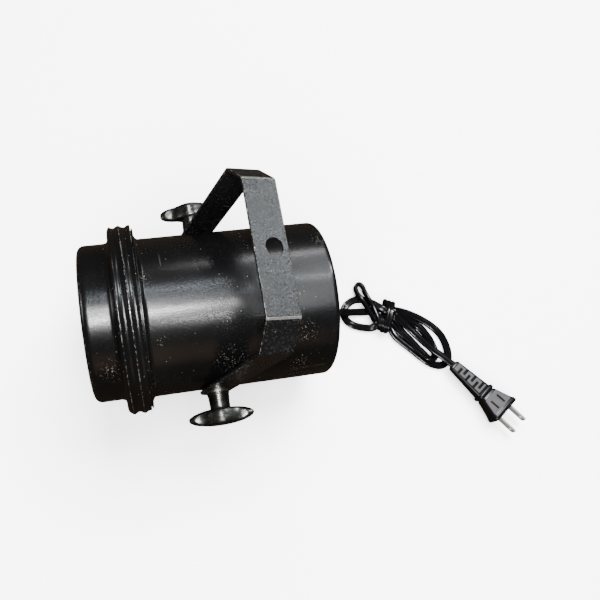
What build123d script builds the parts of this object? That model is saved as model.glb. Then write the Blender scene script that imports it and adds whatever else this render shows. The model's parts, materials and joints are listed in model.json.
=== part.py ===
"""A small par can light for a 114 mm sealed-beam lamp, lying on its side.

The row frame has +Z up. The can's axis runs along X, front at -X, and dips a little towards the
rear, because the can rests on its wide front ring and its narrower rear rim. The yoke's pivot
axis is parallel to Y. Distances called "along" are measured from the pivot along the can's axis,
positive towards the rear. All lengths are in millimetres.
"""

from build123d import *
import os
from math import asin, atan, cos, degrees, pi, radians, sin, sqrt, tan

# Driving dimensions: the can
BODY_R = 54.0  # outside of the rear can
SHEET = 1.0  # spun steel sheet
REAR_END = 80.6  # outer face of the closed end, along
REAR_CORNER = 3.5  # outside corner of the closed end
NECK_R = 60.0  # outside of the threaded neck
NECK_FRONT = -55.2
NECK_BACK = -44.3
BEAD_OUT = 1.3  # a rolled bead behind the neck, above the neck's surface
BEAD_W = 1.0
SKIRT_R = 62.6  # between the ribs
SKIRT_BACK = -44.8
RING_FRONT = -60.2
CUP_R = 53.0  # outside of the bezel's front cup
CUP_FRONT = -80.9
CUP_MOUTH_R = 45.5  # hole in the turned-in lip
BEZEL_T = 1.2  # pressed sheet of the bezel
RIB_R = 1.8
RIB_OUT = -0.4  # from the skirt's surface to a rib's centre
RIB_PITCH = 7.0  # the thread's pitch, and the step from rib to rib
RIBS = 2
LAST_RIB = -47.9

# Driving dimensions: the lamp
LAMP_R = 56.8
LENS_FRONT = -56.6
LENS_T = 3.2
LENS_BULGE = 7.0
FOCUS = 15.6
VERTEX = -11.2  # outside of the reflector's back

# Driving dimensions: the yoke and its wing screws
STRAP_W = 21.0
STRAP_T = 1.8
YOKE_REACH = 112.4  # pivot to the outer face of the cross strap
YOKE_HALF = 56.8  # axis to the outer face of a leg
CROSS_HALF = 41.3  # half of the cross strap, between its bends
CHAMFER_DROP = 17.2
LEG_TAIL = 13.0  # leg below the pivot
YOKE_LEAN = 14.5  # degrees behind square to the can
LEG_CORNER_R = 9.0
HANGING_HOLE_R = 5.4
HANGING_HOLE_AT = (-0.5, 1.9)  # across and rearward from the middle of the cross strap
STUD_R = 3.0
STUD_HOLE_R = 3.08
WASHERS = {"lower": (7.2, 1.2), "upper": (8.2, 2.8)}  # radius and thickness
NECK_LENGTH = 11.0
KNOB_NECK_R = 7.0
WING_HALF = 22.0
WING_W = 12.0
WING_T = 4.6
WING_TURNS = {"lower": 6.0, "upper": 18.0}  # degrees of each wing above the can's axis

# Driving dimensions: transformer and cord
CORE_FRONT = 34.8
CORE_LENGTH = 44.0
CORE_W = 52.0
STACK = 24.0
TRANSFORMER_DROP = -6.0  # its centre, below the can's axis
CORD_DROP = -38.0  # the cord's exit, below the can's axis
CORD_R = 2.2  # round stand-in for the flat twin cord, 6 by 3 mm
EXIT_END = 96.2  # outer end of the cord's strain relief, along

# The pose on the floor: the last rib and the rear corner both touch it. Each is a torus, with a
# place along the axis, a centre radius and a section radius, so its lowest point stands at
# pivot_z - along * sin(lie) - centre_r * cos(lie) - section_r.
rib_centre_r = SKIRT_R + RIB_OUT
corner_along = REAR_END - REAR_CORNER
corner_centre_r = BODY_R - REAR_CORNER
base = corner_along - LAST_RIB
rise = rib_centre_r - corner_centre_r
lie = atan(rise / base) - asin((REAR_CORNER - RIB_R) / sqrt(base**2 + rise**2))
pivot_z = rib_centre_r * cos(lie) + RIB_R + LAST_RIB * sin(lie)
PIVOT_X = -4.3  # puts the row's origin under the middle of the light
PIVOT = Vector(PIVOT_X, 0, pivot_z)
REARWARD = Vector(cos(lie), 0, -sin(lie))
UPWARD = Vector(sin(lie), 0, cos(lie))
ACROSS = Vector(0, 1, 0)
CAN_AXIS = Axis(PIVOT, REARWARD)
# Sketch x runs rearward along the axis, and sketch y is the radius
PROFILE = Plane(origin=PIVOT, x_dir=REARWARD, z_dir=(0, -1, 0))

os.makedirs("parts", exist_ok=True)
finished = []


def finish(piece, name):
    """Labels a finished piece, writes its file and keeps it for the closing report."""
    piece.part.label = name
    export_step(piece.part, f"parts/{name}.step")
    finished.append(piece.part)


def station(along):
    """The plane square to the can's axis at a distance along it: x across, y up."""
    return Plane(origin=PIVOT + REARWARD * along, x_dir=ACROSS, z_dir=REARWARD)


def at(along, across, up):
    """The row-frame point with these coordinates in the can."""
    return PIVOT + REARWARD * along + ACROSS * across + UPWARD * up


def outline(points, radius=0.0, plane=PROFILE):
    """A closed face through points, its corners rounded to one radius or to a list of them."""
    with BuildSketch(plane) as sketch:
        with BuildLine():
            FilletPolyline(*points, radius=radius, close=True)
        make_face()
    return sketch.sketch


def wire_solid(points, section_r, bend_r):
    """A round wire along straight runs with rounded corners."""
    with BuildPart() as wire:
        with BuildLine() as path:
            FilletPolyline(*points, radius=bend_r)
        with BuildSketch(Plane(origin=path.line @ 0, z_dir=path.line % 0)):
            Circle(section_r)
        sweep(path=path.line)
    return wire.part


# ---------------------------------------------------------------- the can

FLARE_BACK = -41.6
FLARE_R = 57.2
inner_r = BODY_R - SHEET
neck_inner_r = NECK_R - SHEET
can_points = [
    (REAR_END, 0),
    (REAR_END, BODY_R),
    (FLARE_BACK, BODY_R),
    (NECK_BACK + BEAD_W, FLARE_R),
    (NECK_BACK + BEAD_W, NECK_R + BEAD_OUT),
    (NECK_BACK, NECK_R + BEAD_OUT),
    (NECK_BACK, NECK_R),
    (NECK_FRONT, NECK_R),
    (NECK_FRONT, neck_inner_r),
    (NECK_BACK, neck_inner_r),
    (NECK_BACK, inner_r),
    (REAR_END - SHEET, inner_r),
    (REAR_END - SHEET, 0),
]
can_radii = [0, REAR_CORNER, 2.0, 0.6, 0.4, 0.3, 0, 0, 0, 0, 0, REAR_CORNER - SHEET, 0]
VENT_RING_R = 42.0
VENT_R = 2.5
VENTS = 7
SCREW_ACROSS = 34.0
SCREW_HOLE_R = 2.2
RELIEF_HOLE_R = 5.5
STUD_SLACK = 0.4  # around a stud in the can's wall

with BuildPart() as rear_can:
    revolve(outline(can_points, can_radii), axis=CAN_AXIS)
    with BuildSketch(Plane(origin=PIVOT, x_dir=REARWARD, z_dir=ACROSS)):
        Circle(STUD_R + STUD_SLACK)
    extrude(amount=BODY_R + 1, both=True, mode=Mode.SUBTRACT)
    with BuildSketch(station(REAR_END - 2 * SHEET)):
        with Locations((0, CORD_DROP)):
            Circle(RELIEF_HOLE_R)
        with Locations((-SCREW_ACROSS, TRANSFORMER_DROP), (SCREW_ACROSS, TRANSFORMER_DROP)):
            Circle(SCREW_HOLE_R)
        with PolarLocations(VENT_RING_R, VENTS, start_angle=15, angular_range=150, endpoint=True):
            Circle(VENT_R)
    extrude(amount=3 * SHEET, mode=Mode.SUBTRACT)
finish(rear_can, "rear_can")

# Hexagonal nuts welded inside the wall, one for each wing screw
NUT_ACROSS_CORNERS_R = 6.4
NUT_INNER = 47.0
with BuildPart() as pivot_nuts:
    for side in (-1, 1):
        with BuildSketch(Plane(origin=PIVOT + ACROSS * side * NUT_INNER, z_dir=ACROSS * side)):
            RegularPolygon(NUT_ACROSS_CORNERS_R, 6)
            Circle(STUD_HOLE_R, mode=Mode.SUBTRACT)
        extrude(amount=BODY_R - NUT_INNER)
    # their outer faces follow the wall
    with BuildSketch(station(-NUT_INNER)):
        Circle(inner_r - 0.02)
    extrude(amount=2 * NUT_INNER, mode=Mode.INTERSECT)
finish(pivot_nuts, "pivot_nuts")

# The ring that the lamp's rim sits on, against the step behind the neck
SEAT_FRONT = -50.3
SEAT_INNER_R = 51.5
SEAT_T = 1.2
SEAT_GAP = 0.3  # to the inside of the neck
seat_outer_r = neck_inner_r - SEAT_GAP
with BuildPart() as lamp_seat_ring:
    seat = [
        (SEAT_FRONT, SEAT_INNER_R),
        (SEAT_FRONT, seat_outer_r),
        (NECK_BACK - 0.05, seat_outer_r),
        (NECK_BACK - 0.05, seat_outer_r - SEAT_T),
        (SEAT_FRONT + SEAT_T, seat_outer_r - SEAT_T),
        (SEAT_FRONT + SEAT_T, SEAT_INNER_R),
    ]
    revolve(outline(seat, [0, 1.6, 0, 0, 0.4, 0]), axis=CAN_AXIS)
finish(lamp_seat_ring, "lamp_seat_ring")

# A wire ring that stops the seat ring from falling out when the bezel is off
SNAP_WIRE_R = 0.9
SNAP_AHEAD = 2.6  # in front of the seat ring
with BuildPart() as lamp_snap_ring:
    with BuildSketch(PROFILE):
        with Locations((SEAT_FRONT - SNAP_AHEAD, neck_inner_r - SNAP_WIRE_R - 0.05)):
            Circle(SNAP_WIRE_R)
    revolve(axis=CAN_AXIS, revolution_arc=330)
finish(lamp_snap_ring, "lamp_snap_ring")

# ---------------------------------------------------------------- the sealed-beam lamp

lens_back = LENS_FRONT + LENS_T
RIM_W = 4.6  # flat rim round the lens's dome
dome_r = LAMP_R - RIM_W
dome_sphere_r = (dome_r**2 + LENS_BULGE**2) / (2 * LENS_BULGE)
with BuildPart() as lamp_lens:
    with BuildSketch(station(LENS_FRONT)):
        Circle(LAMP_R)
    extrude(amount=LENS_T)
    # the dome: a shell between two balls, kept in front of the rim
    with Locations(at(LENS_FRONT - LENS_BULGE + dome_sphere_r, 0, 0)):
        Sphere(dome_sphere_r)
    with BuildSketch(station(LENS_FRONT - LENS_BULGE - 1)):
        Circle(LAMP_R)
    extrude(amount=LENS_BULGE + LENS_T + 1, mode=Mode.INTERSECT)
    with Locations(at(LENS_FRONT - LENS_BULGE + dome_sphere_r, 0, 0)):
        Sphere(dome_sphere_r - LENS_T, mode=Mode.SUBTRACT)
finish(lamp_lens, "lamp_lens")


def paraboloid(vertex, radius):
    """The distance along, on a paraboloid that opens forwards, at a radius."""
    return vertex - radius**2 / (4 * FOCUS)


GLASS_T = 2.2
BOWL_R = 49.5
flange_back = lens_back + LENS_T - 0.2
mirror_curve = [(paraboloid(VERTEX, r), r) for r in (0, 12, 24, 36, BOWL_R)]
back_curve = [(paraboloid(VERTEX - GLASS_T, r), r) for r in (BOWL_R - 2, 36, 24, 12, 0)]
bowl_rim = [
    mirror_curve[-1],
    (flange_back, dome_r - 1),
    (flange_back, LAMP_R),
    (lens_back, LAMP_R),
    (lens_back, BOWL_R - 1.5),
    back_curve[0],
]
POST_ACROSS = 10.0
POST_R = 3.0
with BuildPart() as lamp_reflector:
    with BuildSketch(PROFILE):
        with BuildLine():
            Spline(*mirror_curve, tangents=[(0, 1), (-3.2, 2)])
            Polyline(*bowl_rim)
            Spline(*back_curve, tangents=[(3.2, -2), (0, -1)])
            Line((VERTEX - GLASS_T, 0), (VERTEX, 0))
        make_face()
    revolve(axis=CAN_AXIS)
    with BuildSketch(station(VERTEX - 8)):
        with Locations((-POST_ACROSS, 0), (POST_ACROSS, 0)):
            Circle(POST_R)
    extrude(amount=12, mode=Mode.SUBTRACT)
finish(lamp_reflector, "lamp_reflector")

POST_FRONT = -17.7
POST_BACK = -2.2
THREAD_R = 1.5  # of the terminals' screws
THREAD_DEPTH = 7.0
with BuildPart() as lamp_terminals:
    with BuildSketch(station(POST_FRONT)):
        with Locations((-POST_ACROSS, 0), (POST_ACROSS, 0)):
            Circle(POST_R)
    extrude(amount=POST_BACK - POST_FRONT)
    with BuildSketch(station(POST_BACK)):
        with Locations((-POST_ACROSS, 0), (POST_ACROSS, 0)):
            Circle(THREAD_R)
    extrude(amount=-THREAD_DEPTH, mode=Mode.SUBTRACT)
finish(lamp_terminals, "lamp_terminals")

filament_along = VERTEX - GLASS_T - FOCUS
SUPPORT_R = 0.8
FILAMENT_R = 0.7
with BuildPart() as filament_supports:
    with BuildSketch(station(POST_FRONT)):
        with Locations((-POST_ACROSS, 0), (POST_ACROSS, 0)):
            Circle(SUPPORT_R)
    extrude(amount=filament_along - POST_FRONT)
finish(filament_supports, "filament_supports")

with BuildPart() as filament:
    filament_end = at(filament_along + 0.9, -POST_ACROSS + SUPPORT_R, 0)
    with BuildSketch(Plane(origin=filament_end, z_dir=ACROSS)):
        Circle(FILAMENT_R)
    extrude(amount=2 * (POST_ACROSS - SUPPORT_R))
finish(filament, "filament")

LUG_R = 3.6
LUG_T = 0.8
LUG_TONGUE = (6.0, 3.0)
with BuildPart() as lead_lugs:
    with BuildSketch(station(POST_BACK)):
        for side in (-1, 1):
            with Locations((side * POST_ACROSS, 0)):
                Circle(LUG_R)
            with Locations((side * (POST_ACROSS + 4.5), 0)):
                Rectangle(*LUG_TONGUE)
        with Locations((-POST_ACROSS, 0), (POST_ACROSS, 0)):
            Circle(THREAD_R, mode=Mode.SUBTRACT)
    extrude(amount=LUG_T)
finish(lead_lugs, "lead_lugs")

TERMINAL_HEAD_R = 3.2
TERMINAL_HEAD_T = 2.2
with BuildPart() as lamp_terminal_screws:
    for side in (-1, 1):
        with BuildSketch(station(POST_BACK + LUG_T)):
            with Locations((side * POST_ACROSS, 0)):
                Circle(TERMINAL_HEAD_R)
        extrude(amount=TERMINAL_HEAD_T)
        with BuildSketch(station(POST_BACK + LUG_T)):
            with Locations((side * POST_ACROSS, 0)):
                Circle(THREAD_R - 0.04)
        extrude(amount=-THREAD_DEPTH + 0.5)
        with BuildSketch(station(POST_BACK + LUG_T + TERMINAL_HEAD_T)):
            with Locations((side * POST_ACROSS, 0)):
                Rectangle(3 * TERMINAL_HEAD_R, 0.8)
        extrude(amount=-TERMINAL_HEAD_T / 2.5, mode=Mode.SUBTRACT)
finish(lamp_terminal_screws, "lamp_terminal_screws")

# ---------------------------------------------------------------- transformer, low in the rear can

BAR = 8.6  # outer legs and end bars of the laminations
LIMB = 18.0  # centre leg
core_mid = CORE_FRONT + CORE_LENGTH / 2
window_w = (CORE_W - LIMB - 2 * BAR) / 2
window_l = CORE_LENGTH - 2 * BAR
# Sketch x runs across the can and sketch y rearward, so the stack is built upwards
CORE_BASE = Plane(
    origin=at(core_mid, 0, TRANSFORMER_DROP - STACK / 2), x_dir=ACROSS, z_dir=UPWARD
)
window_across = LIMB / 2 + window_w / 2

with BuildPart() as transformer_core:
    with BuildSketch(CORE_BASE):
        Rectangle(CORE_W, CORE_LENGTH)
        with Locations((-window_across, 0), (window_across, 0)):
            Rectangle(window_w, window_l, mode=Mode.SUBTRACT)
    extrude(amount=STACK)
finish(transformer_core, "transformer_core")

BOBBIN_GAP = 0.15
BOBBIN_WALL = 1.0
FLANGE_OUT = 7.0
FLANGE_T = 1.0
bore_w = LIMB + 2 * BOBBIN_GAP
bore_h = STACK + 2 * BOBBIN_GAP
spool_w = bore_w + 2 * BOBBIN_WALL
spool_h = bore_h + 2 * BOBBIN_WALL
flange_w = LIMB + 2 * window_w - 0.6
flange_h = spool_h + 2 * FLANGE_OUT
bobbin_front = core_mid - window_l / 2 + 0.3
bobbin_length = window_l - 0.6


def coil_station(along):
    """The plane square to the transformer's centre leg, centred on the leg."""
    return Plane(origin=at(along, 0, TRANSFORMER_DROP), x_dir=ACROSS, z_dir=REARWARD)


with BuildPart() as transformer_bobbin:
    with BuildSketch(coil_station(bobbin_front)):
        Rectangle(spool_w, spool_h)
    extrude(amount=bobbin_length)
    for flange_at in (0, (bobbin_length - FLANGE_T) / 2, bobbin_length - FLANGE_T):
        with BuildSketch(coil_station(bobbin_front + flange_at)):
            RectangleRounded(flange_w, flange_h, 1.5)
        extrude(amount=FLANGE_T)
    with BuildSketch(coil_station(bobbin_front)):
        Rectangle(bore_w, bore_h)
    extrude(amount=bobbin_length, mode=Mode.SUBTRACT)
finish(transformer_bobbin, "transformer_bobbin")

coil_length = (bobbin_length - 3 * FLANGE_T) / 2
coil_starts = {
    "secondary_winding": bobbin_front + FLANGE_T,
    "primary_winding": bobbin_front + 2 * FLANGE_T + coil_length,
}
for name, start in coil_starts.items():
    with BuildPart() as winding:
        with BuildSketch(coil_station(start)):
            RectangleRounded(flange_w - 1.2, flange_h - 1.6, 3.0)
            Rectangle(spool_w, spool_h, mode=Mode.SUBTRACT)
        extrude(amount=coil_length)
    finish(winding, name)

# A sheet strap round three sides of the stack, with feet on the closed end of the can
BRACKET_T = 1.2
BRACKET_W = 21.0
FOOT_OUT = 14.0
wall_inside = REAR_END - SHEET
side_in = CORE_W / 2 + 0.05
front_in = CORE_FRONT - 0.05
strap = [
    (side_in + FOOT_OUT, wall_inside),
    (side_in + FOOT_OUT, wall_inside - BRACKET_T),
    (side_in + BRACKET_T, wall_inside - BRACKET_T),
    (side_in + BRACKET_T, front_in - BRACKET_T),
    (-side_in - BRACKET_T, front_in - BRACKET_T),
    (-side_in - BRACKET_T, wall_inside - BRACKET_T),
    (-side_in - FOOT_OUT, wall_inside - BRACKET_T),
    (-side_in - FOOT_OUT, wall_inside),
    (-side_in, wall_inside),
    (-side_in, front_in),
    (side_in, front_in),
    (side_in, wall_inside),
]
# Sketch x runs rearward and sketch y across
STRAP_BASE = Plane(
    origin=at(0, 0, TRANSFORMER_DROP - BRACKET_W / 2), x_dir=REARWARD, z_dir=UPWARD
)
with BuildPart() as transformer_bracket:
    corners = [(along, across) for across, along in strap]
    extrude(outline(corners, plane=STRAP_BASE), amount=BRACKET_W)
    with BuildSketch(station(wall_inside - 2 * BRACKET_T)):
        with Locations((-SCREW_ACROSS, TRANSFORMER_DROP), (SCREW_ACROSS, TRANSFORMER_DROP)):
            Circle(SCREW_HOLE_R)
    extrude(amount=3 * BRACKET_T, mode=Mode.SUBTRACT)
finish(transformer_bracket, "transformer_bracket")

SCREW_R = 2.0
SCREW_HEAD_R = 3.9
SCREW_HEAD_T = 2.2
FIXING_NUT_T = 3.2
nut_front = wall_inside - BRACKET_T - FIXING_NUT_T
with BuildPart() as transformer_screws:
    for side in (-1, 1):
        with BuildSketch(station(REAR_END)):
            with Locations((side * SCREW_ACROSS, TRANSFORMER_DROP)):
                Circle(SCREW_HEAD_R)
        extrude(amount=SCREW_HEAD_T)
        with BuildSketch(station(REAR_END + SCREW_HEAD_T)):
            with Locations((side * SCREW_ACROSS, TRANSFORMER_DROP)):
                Rectangle(2 * SCREW_HEAD_R, 1.0)
        extrude(amount=-1.0, mode=Mode.SUBTRACT)
        with BuildSketch(station(nut_front - 1.5)):
            with Locations((side * SCREW_ACROSS, TRANSFORMER_DROP)):
                Circle(SCREW_R)
        extrude(amount=REAR_END - nut_front + 1.5)
finish(transformer_screws, "transformer_screws")

with BuildPart() as transformer_nuts:
    with BuildSketch(station(nut_front)):
        with Locations((-SCREW_ACROSS, TRANSFORMER_DROP), (SCREW_ACROSS, TRANSFORMER_DROP)):
            RegularPolygon(4.0, 6)
            Circle(SCREW_R + 0.05, mode=Mode.SUBTRACT)
    extrude(amount=FIXING_NUT_T - 0.02)
finish(transformer_nuts, "transformer_nuts")

# ---------------------------------------------------------------- wiring inside the can

coil_top = TRANSFORMER_DROP + (flange_h - 1.6) / 2
coil_bottom = TRANSFORMER_DROP - (flange_h - 1.6) / 2
secondary_at = coil_starts["secondary_winding"] + coil_length / 2
primary_at = coil_starts["primary_winding"] + coil_length / 2
LEAD_R = 1.2

lamp_lead_runs = []
for side in (-1, 1):
    route = [
        at(secondary_at, side * 8, coil_top),
        at(secondary_at - 2, side * 9, coil_top + 10),
        at(16, side * 22, coil_top + 9),
        at(3, side * 20, 4),
        at(POST_BACK + LUG_T + LEAD_R, side * (POST_ACROSS + 6), 0),
    ]
    lamp_lead_runs.append(wire_solid(route, LEAD_R, 4.0))
with BuildPart() as lamp_leads:
    add(lamp_lead_runs)
finish(lamp_leads, "lamp_leads")

NUT_MOUTH = 58.8
NUT_DROP = -37.0
NUT_SPREAD = 11.0
WIRE_NUT_R = 4.6
WIRE_NUT_LENGTH = 17.0
MAINS_WIRE_R = 1.0
with BuildPart() as wire_nuts:
    for side in (-1, 1):
        with BuildSketch(Plane(origin=at(NUT_MOUTH, side * NUT_SPREAD, NUT_DROP), z_dir=-REARWARD)):
            Circle(WIRE_NUT_R)
        extrude(amount=WIRE_NUT_LENGTH, taper=5)
finish(wire_nuts, "wire_nuts")

primary_lead_runs = []
for side in (-1, 1):
    route = [
        at(primary_at, side * 6, coil_bottom),
        at(primary_at + 2, side * 8, NUT_DROP + 2.5),
        at(NUT_MOUTH, side * (NUT_SPREAD + 1.5), NUT_DROP + 1.6),
    ]
    primary_lead_runs.append(wire_solid(route, MAINS_WIRE_R, 3.0))
with BuildPart() as primary_leads:
    add(primary_lead_runs)
finish(primary_leads, "primary_leads")

RELIEF_INNER = 75.8
inner_wire_runs = []
for side in (-1, 1):
    route = [
        at(RELIEF_INNER, side * 1.6, CORD_DROP),
        at(RELIEF_INNER - 6, side * 3, CORD_DROP),
        at(NUT_MOUTH, side * (NUT_SPREAD - 1.5), NUT_DROP - 1.6),
    ]
    inner_wire_runs.append(wire_solid(route, MAINS_WIRE_R, 4.0))
with BuildPart() as cord_inner_wires:
    add(inner_wire_runs)
finish(cord_inner_wires, "cord_inner_wires")

# The moulded strain relief, snapped into the closed end
RELIEF_AXIS = Axis(at(0, 0, CORD_DROP), REARWARD)
RELIEF_PROFILE = Plane(origin=at(0, 0, CORD_DROP), x_dir=REARWARD, z_dir=(0, -1, 0))
RELIEF_BARB_R = 7.0
RELIEF_NECK_R = 5.45
RELIEF_FLANGE_R = 7.6
RELIEF_FLANGE_T = 2.4
RELIEF_TIP_R = 3.8
relief_points = [
    (RELIEF_INNER, 0),
    (RELIEF_INNER, RELIEF_BARB_R - 0.8),
    (wall_inside, RELIEF_BARB_R),
    (wall_inside, RELIEF_NECK_R),
    (REAR_END, RELIEF_NECK_R),
    (REAR_END, RELIEF_FLANGE_R),
    (REAR_END + RELIEF_FLANGE_T, RELIEF_FLANGE_R),
    (REAR_END + RELIEF_FLANGE_T + 0.6, 5.2),
    (EXIT_END, RELIEF_TIP_R),
    (EXIT_END, 0),
]
with BuildPart() as cord_relief:
    relief_face = outline(relief_points, [0, 0.8, 0, 0, 0, 0.8, 0.8, 0.5, 0.8, 0], RELIEF_PROFILE)
    revolve(relief_face, axis=RELIEF_AXIS)
finish(cord_relief, "cord_relief")

# ---------------------------------------------------------------- front bezel

skirt_inner = SKIRT_R - BEZEL_T - 0.1
bezel_points = [
    (CUP_FRONT + BEZEL_T, CUP_MOUTH_R),
    (CUP_FRONT + BEZEL_T, CUP_R - BEZEL_T),
    (RING_FRONT + BEZEL_T, CUP_R - BEZEL_T),
    (RING_FRONT + BEZEL_T, skirt_inner),
    (SKIRT_BACK, skirt_inner),
    (SKIRT_BACK, SKIRT_R),
    (RING_FRONT, SKIRT_R),
    (RING_FRONT, CUP_R),
    (CUP_FRONT, CUP_R),
    (CUP_FRONT, CUP_MOUTH_R),
]
bezel_radii = [0.4, 4.3, 2.4, 1.4, 0.3, 0.5, 2.6, 4.2, 5.5, 0.4]
with BuildPart() as front_bezel:
    with BuildSketch(PROFILE):
        with BuildLine():
            FilletPolyline(*bezel_points, radius=bezel_radii, close=True)
        make_face()
        for rib in range(RIBS):
            with Locations((LAST_RIB - rib * RIB_PITCH, SKIRT_R + RIB_OUT)):
                Circle(RIB_R)
    revolve(axis=CAN_AXIS)
finish(front_bezel, "front_bezel")

# The gasket between the bezel's step and the lamp's rim
GASKET_T = 2.0
with BuildPart() as bezel_gasket:
    with BuildSketch(station(RING_FRONT + BEZEL_T + 0.05)):
        Circle(LAMP_R)
        Circle(dome_r + 0.4, mode=Mode.SUBTRACT)
    extrude(amount=GASKET_T)
finish(bezel_gasket, "bezel_gasket")

# ---------------------------------------------------------------- yoke

yoke_turn = lie + radians(YOKE_LEAN)
YOKE_UP = Vector(sin(yoke_turn), 0, cos(yoke_turn))
YOKE = Plane(origin=PIVOT, x_dir=ACROSS, z_dir=ACROSS.cross(YOKE_UP))
slope = atan((YOKE_HALF - CROSS_HALF) / CHAMFER_DROP)
leg_mitre = STRAP_T * tan(slope / 2)
cross_mitre = STRAP_T * tan((radians(90) - slope) / 2)
shoulder = YOKE_REACH - CHAMFER_DROP
BEND_R = 3.4
outer_line = [
    (-YOKE_HALF, -LEG_TAIL),
    (-YOKE_HALF, shoulder),
    (-CROSS_HALF, YOKE_REACH),
    (CROSS_HALF, YOKE_REACH),
    (YOKE_HALF, shoulder),
    (YOKE_HALF, -LEG_TAIL),
]
inner_half = YOKE_HALF - STRAP_T
inner_line = [
    (inner_half, -LEG_TAIL),
    (inner_half, shoulder - leg_mitre),
    (CROSS_HALF - cross_mitre, YOKE_REACH - STRAP_T),
    (-CROSS_HALF + cross_mitre, YOKE_REACH - STRAP_T),
    (-inner_half, shoulder - leg_mitre),
    (-inner_half, -LEG_TAIL),
]
with BuildPart() as yoke:
    bends = [0] + [BEND_R] * 4 + [0, 0] + [BEND_R - STRAP_T] * 4 + [0]
    extrude(outline(outer_line + inner_line, bends, YOKE), amount=STRAP_W / 2, both=True)
    # round the ends of the legs
    leg_corners = yoke.edges().filter_by(Axis.Y).group_by(SortBy.LENGTH)[0]
    leg_corners = [e for e in leg_corners if (e.center() - PIVOT).dot(YOKE_UP) < 0]
    fillet(leg_corners, radius=LEG_CORNER_R)
    with BuildSketch(Plane(origin=PIVOT, z_dir=ACROSS)):
        Circle(STUD_HOLE_R)
    extrude(amount=YOKE_HALF + 1, both=True, mode=Mode.SUBTRACT)
    under_strap = PIVOT + YOKE_UP * (YOKE_REACH - 2 * STRAP_T)
    with BuildSketch(Plane(origin=under_strap, x_dir=ACROSS, z_dir=-YOKE_UP)):
        with Locations(HANGING_HOLE_AT):
            Circle(HANGING_HOLE_R)
    extrude(amount=-3 * STRAP_T, mode=Mode.SUBTRACT)
finish(yoke, "yoke")

# ---------------------------------------------------------------- wing screws

WASHER_GAP = 0.1
washer_inner = YOKE_HALF + WASHER_GAP
STUD_INNER = 44.0
STUD_IN_KNOB = 8.0
BOSS_R = 5.6
for place, side in (("lower", -1), ("upper", 1)):
    out = ACROSS * side
    turn = radians(WING_TURNS[place])
    wing_dir = REARWARD * cos(turn) + UPWARD * sin(turn)
    washer_r, washer_t = WASHERS[place]
    neck_inner = washer_inner + washer_t
    wing_mid = neck_inner + NECK_LENGTH + WING_W / 2 - 1.0
    stud_outer = neck_inner + STUD_IN_KNOB

    with BuildPart() as wing_washer:
        with BuildSketch(Plane(origin=PIVOT + out * washer_inner, z_dir=out)):
            Circle(washer_r)
            Circle(STUD_HOLE_R, mode=Mode.SUBTRACT)
        extrude(amount=washer_t)
    finish(wing_washer, f"wing_washer_{place}")

    with BuildPart() as wing_knob:
        with BuildSketch(Plane(origin=PIVOT + out * neck_inner, x_dir=wing_dir, z_dir=out)):
            Circle(KNOB_NECK_R)
        extrude(amount=NECK_LENGTH + 2)
        wing_plane = Plane(
            origin=PIVOT + out * wing_mid, x_dir=wing_dir, z_dir=wing_dir.cross(out)
        )
        with BuildSketch(wing_plane):
            Ellipse(WING_HALF, WING_W / 2)
        extrude(amount=WING_T / 2, both=True)
        with BuildSketch(Plane(origin=PIVOT + out * (neck_inner + NECK_LENGTH), z_dir=out)):
            Circle(BOSS_R)
        extrude(amount=WING_W - 2.2)
        with BuildSketch(Plane(origin=PIVOT + out * (neck_inner - 1), z_dir=out)):
            Circle(STUD_R)
        extrude(amount=STUD_IN_KNOB + 1, mode=Mode.SUBTRACT)
    finish(wing_knob, f"wing_knob_{place}")

    with BuildPart() as wing_stud:
        with BuildSketch(Plane(origin=PIVOT + out * STUD_INNER, z_dir=out)):
            Circle(STUD_R)
        extrude(amount=stud_outer - STUD_INNER)
        chamfer(wing_stud.faces().sort_by(Axis.Y)[0 if side > 0 else -1].edges(), length=0.6)
    finish(wing_stud, f"wing_stud_{place}")

# ---------------------------------------------------------------- cord and plug

# The lead: out of the strain relief, down to the floor and into the hank
relief_tip = at(EXIT_END, 0, CORD_DROP)
lead_route = [
    relief_tip,
    Vector(94.6, -0.3, 13.2),
    Vector(100.6, -1.2, 9.9),
    Vector(106.8, -1.5, 5.9),
    Vector(113.1, -1.3, 3.6),
]


def print_radii(name, points, radii):
    """Prints each corner's turn and radius, in degrees and millimetres."""
    for i, radius in enumerate(radii):
        before = points[i + 1] - points[i]
        after = points[i + 2] - points[i + 1]
        turn = before.get_angle(after)
        print(name, "corner", i + 1, "turn", round(turn, 1), "radius", round(radius, 1))


def cord_radii(points):
    """The largest tangent arc that each corner's two runs have room for."""
    radii = []
    for a, b, c in zip(points, points[1:], points[2:]):
        turn = radians((b - a).get_angle(c - b))
        shorter = min((b - a).length, (c - b).length)
        radii.append(0.45 * shorter / tan(turn / 2))
    return radii


lead_radii = cord_radii(lead_route)
print_radii("lead", lead_route, lead_radii)
with BuildPart() as cord_lead:
    with BuildLine() as lead_path:
        FilletPolyline(*lead_route, radius=lead_radii)
    with BuildSketch(Plane(origin=lead_path.line @ 0, z_dir=REARWARD)):
        Circle(CORD_R)
    sweep(path=lead_path.line)
lead_length = sum(edge.length for edge in lead_path.edges())
full = pi * CORD_R**2 * lead_length
print("lead length", round(lead_length, 2), "volume ratio", round(cord_lead.part.volume / full, 4))
finish(cord_lead, "cord_lead")

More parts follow.
